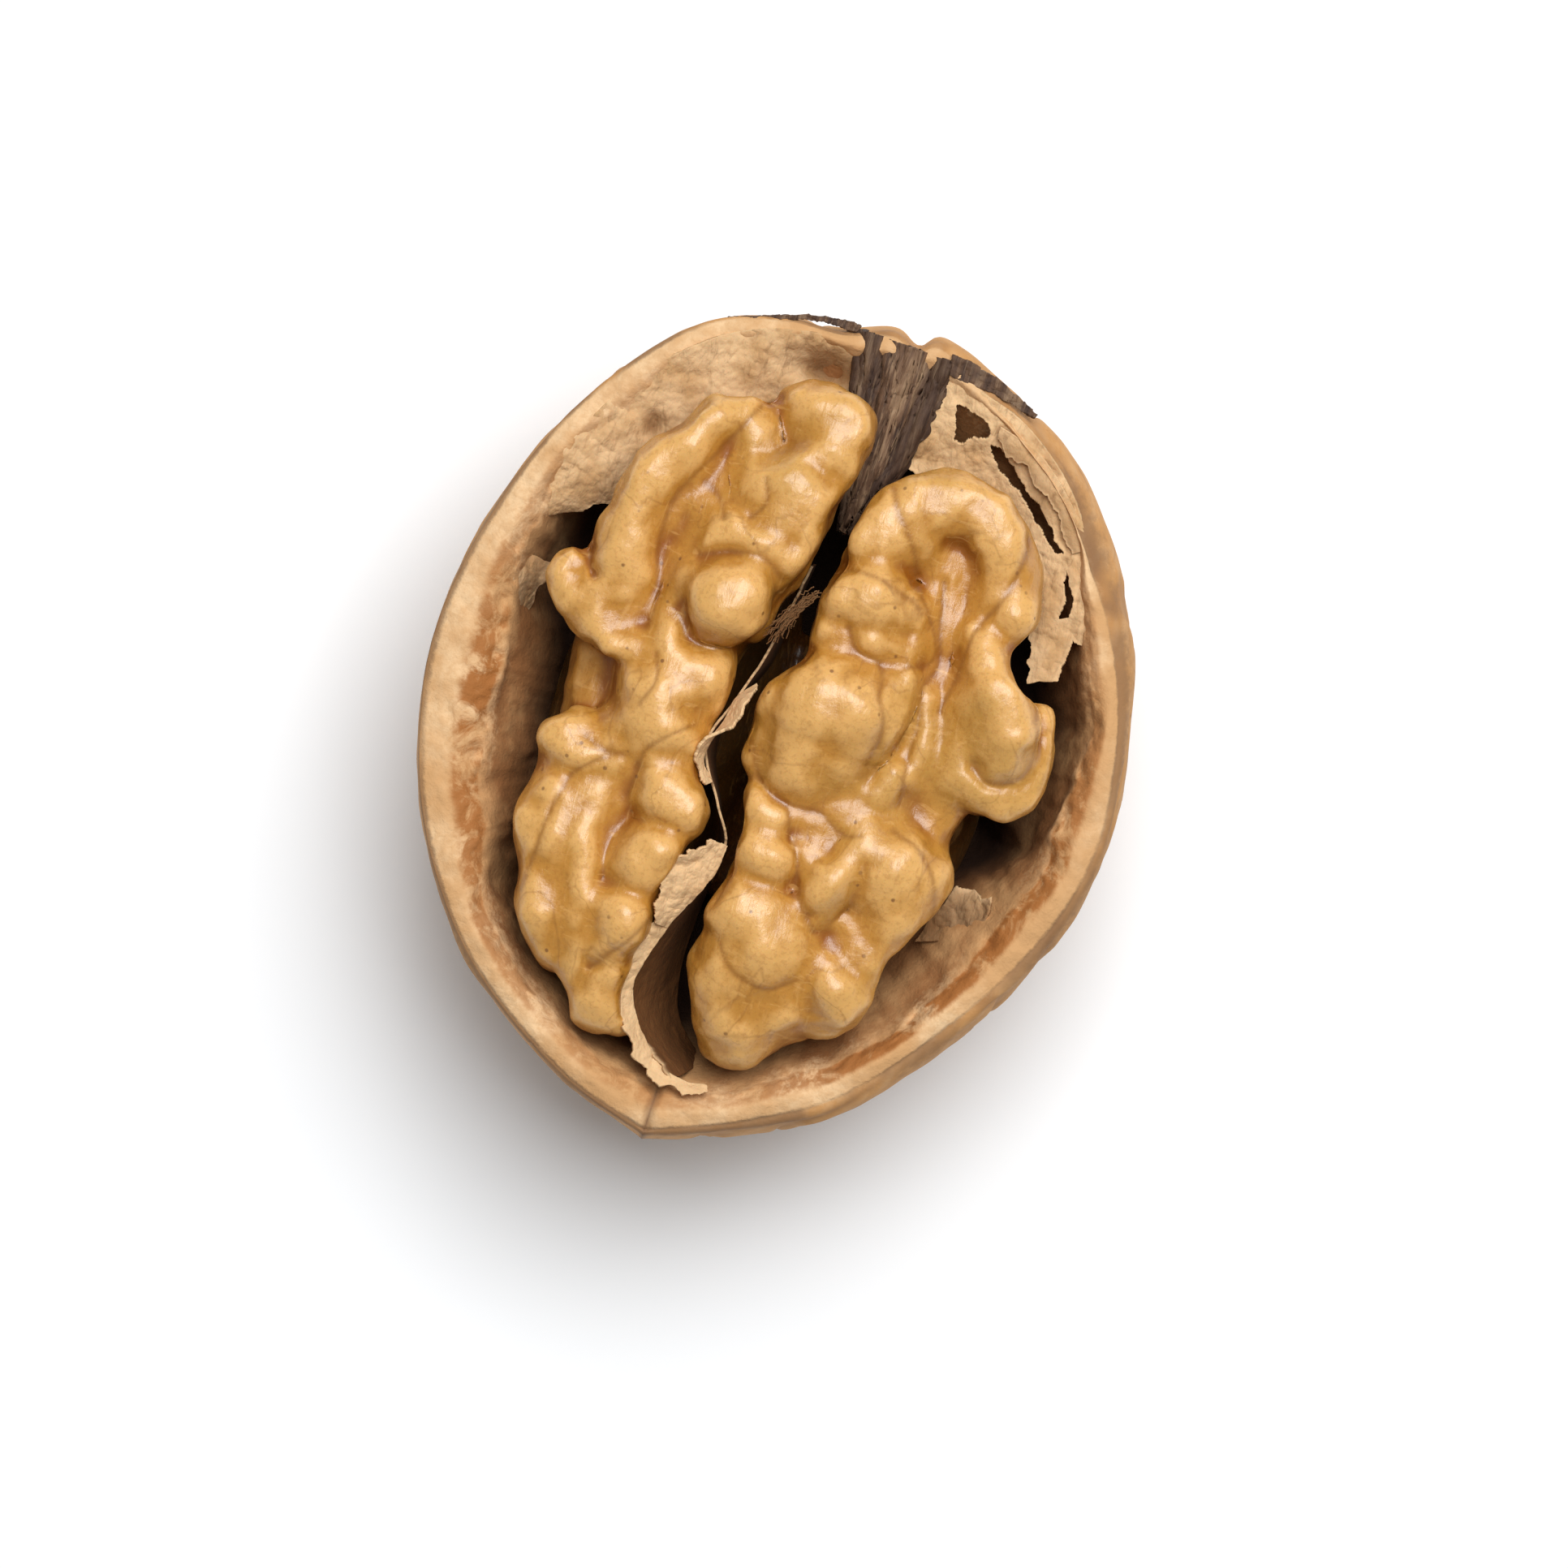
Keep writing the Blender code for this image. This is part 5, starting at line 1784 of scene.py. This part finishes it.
@dataclass
class StemBundle:
    """The wedge of dark fibres that runs in from the stem, and its tails on the rim."""

    finish: StemFibre = StemFibre()
    left: tuple[Place, ...] = (
        (-2.5, 20.1, 17.1), (-1.7, 18.4, 16.9), (-1.4, 17.0, 16.7), (-0.9, 14.8, 16.3),
        (-0.3, 12.6, 15.7), (0.1, 10.5, 14.8),
    )  # fmt: skip
    right: tuple[Place, ...] = (
        (3.3, 20.0, 17.1), (2.9, 18.4, 16.9), (2.6, 17.0, 16.7), (2.2, 14.8, 16.3),
        (1.2, 12.6, 15.7), (0.5, 10.5, 14.8),
    )  # fmt: skip
    columns: int = 300
    rows: int = 110
    wall: float = 0.5
    tail_wall: float = 0.2
    tail_height: float = 17.12

    def build(self) -> None:
        """Builds the bundle and its tails."""
        material = self.finish.make()
        self._wedge(material)
        self._tail("stem_tail_right", material, [(2.6, 20.3), (4.9, 19.9), (7.5, 18.8)],
                   [(2.8, 19.3), (5.0, 19.1), (7.4, 18.6)], 300.0)  # fmt: skip
        self._tail("stem_tail_left", material, [(-2.0, 20.3), (-4.6, 20.0), (-8.4, 18.7)],
                   [(-2.2, 19.9), (-4.6, 19.75), (-8.3, 18.6)], 320.0)  # fmt: skip

    def _wedge(self, material: bpy.types.Material) -> None:
        """Builds the wedge, ridged lengthwise, with a deep groove on each side of its middle.

        Args:
            material: The fibres' finish.
        """
        mesh, along, across = grid("stem_bundle", self.columns, self.rows)
        a, b = (spread(edge, along, 400) for edge in (self.left, self.right))
        places = a + (b - a) * across[:, None]
        strands = np.column_stack([across * 6.0, along * 5.0, np.zeros_like(along)])
        ridges = cloud(strands, (0.7, 2.4, 1.0), 4, 250.0)
        thin = cloud(strands, (0.2, 1.6, 1.0), 3, 260.0)
        rounded = np.sin(math.pi * np.clip(across, 0.0, 1.0)) ** 0.5
        places[:, 2] += 0.40 * ridges + 0.14 * thin - 0.5 * (1.0 - rounded)
        places[:, 0] += 0.10 * cloud(places, 1.2, 3, 270.0)
        left, right = (np.exp(-(((across - middle) / 0.05) ** 2)) for middle in (0.30, 0.70))
        places[:, 2] -= 0.45 * (left + 0.8 * right) * (1.0 - 0.4 * along)
        move_points(mesh, places)
        # Painted shade: the wedge darkens from the grooves beside its middle out to its sides.
        dark = smooth_step(0.30, 0.18, across) + smooth_step(0.62, 0.78, across)
        mark(mesh, "shade", np.clip(dark * 0.9 - 0.35 * thin, 0.0, 1.0))
        thicken(show(mesh, material, "stem_fibres"), self.wall)

    def _tail(
        self, name: str, material: bpy.types.Material, outer: list[Place], inner: list[Place],
        seed: float,
    ) -> None:  # fmt: skip
        """Builds one dark tail that lies along the rim.

        Args:
            name: The piece's name.
            material: The fibres' finish.
            outer: Its outer edge, away from the stem.
            inner: Its inner edge, the same way along.
            seed: Makes its roughness its own.
        """
        mesh, along, across = grid(name, 160, 24)
        a, b = (spread(edge, along, 200) for edge in (outer, inner))
        flat = a + (b - a) * across[:, None]
        places = np.column_stack([flat, np.full(len(flat), self.tail_height)])
        places[:, 2] += 0.10 * cloud(places, (0.8, 0.4, 1.0), 4, seed) - 0.3 * along
        places[:, :2] += 0.08 * cloud(places, 0.7, 3, seed + 4.0)[:, None]
        move_points(mesh, places)
        mark(mesh, "shade", 0.5 + 0.4 * cloud(places, 0.5, 3, seed + 7.0))
        thicken(show(mesh, material, "stem_fibres"), self.tail_wall)


# ----------------------------------------------------------------------------------------- studio


@dataclass
class Studio:
    """A white floor, a large soft light and a camera that looks straight down."""

    aim: Place = (1.28, -2.2, 17.0)  # where the middle of the frame lies, in millimetres
    away: float = 400.0
    frame_width: float = 76.67
    sensor: float = 36.0
    turn: float = 18.0  # how far the camera's up is turned from the nut's long axis, in degrees
    key_target: Place = (0.0, 0.0, 0.015)  # metres, as the rest of the lights' sizes
    key_toward: Place = (0.208, 0.978, 0.0)
    key_height: float = 67.0  # degrees above the floor
    key_away: float = 1.05
    key_size: float = 0.75
    key_power: float = 12.9
    sky: float = 0.24
    sky_colour: Place = (1.0, 1.0, 0.995)
    floor_half: float = 3.0

    def build(self) -> None:
        """Builds the floor, the lights and the camera."""
        self._floor()
        self._sky()
        self._key()
        self._camera()
        view = bpy.context.scene.view_settings
        view.view_transform = "Standard"
        view.look = "None"
        view.exposure = 0.0

    def _floor(self) -> None:
        """Lays the floor under the nut."""
        bm = bmesh.new()
        bmesh.ops.create_grid(bm, x_segments=1, y_segments=1, size=self.floor_half)
        mesh = bpy.data.meshes.new("floor")
        bm.to_mesh(mesh)
        bm.free()
        mesh.materials.append(FloorPaint().make())
        floor = bpy.data.objects.new("floor", mesh)
        bpy.context.scene.collection.objects.link(floor)

    def _sky(self) -> None:
        """Fills the room with even white light."""
        world = bpy.data.worlds.new("room")
        world.use_nodes = True
        back = world.node_tree.nodes["Background"]
        back.inputs["Color"].default_value = (*self.sky_colour, 1.0)
        back.inputs["Strength"].default_value = self.sky
        bpy.context.scene.world = world

    def _key(self) -> None:
        """Hangs a large square softbox over the stem's end of the nut."""
        height = math.radians(self.key_height)
        way = Vector(self.key_toward) * math.cos(height) + Vector((0.0, 0.0, math.sin(height)))
        light = bpy.data.lights.new("key", "AREA")
        light.shape = "SQUARE"
        light.size = self.key_size
        light.energy = self.key_power
        lamp = bpy.data.objects.new("key", light)
        lamp.location = Vector(self.key_target) + way.normalized() * self.key_away
        lamp.rotation_mode = "QUATERNION"
        lamp.rotation_quaternion = way.to_track_quat("Z", "Y")
        bpy.context.scene.collection.objects.link(lamp)

    def _camera(self) -> None:
        """Hangs the camera over the nut, turned so that its long axis leans to the right."""
        lens = bpy.data.cameras.new("camera")
        lens.sensor_width = self.sensor
        lens.lens = self.sensor * self.away / self.frame_width
        lens.clip_start, lens.clip_end = 0.01, 10.0
        camera = bpy.data.objects.new("camera", lens)
        camera.location = Vector(self.aim) * MM + Vector((0.0, 0.0, self.away * MM))
        camera.rotation_euler = (0.0, 0.0, math.radians(self.turn))
        bpy.context.scene.collection.objects.link(camera)
        bpy.context.scene.camera = camera


def main() -> None:
    """Builds the nut and its studio."""
    logging.basicConfig(level=logging.INFO, format="%(name)s: %(message)s")
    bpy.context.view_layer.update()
    HalfShell().build()
    Kernel().build()
    PaperyParts().build()
    StemBundle().build()
    Studio().build()


if __name__ == "__main__":
    main()
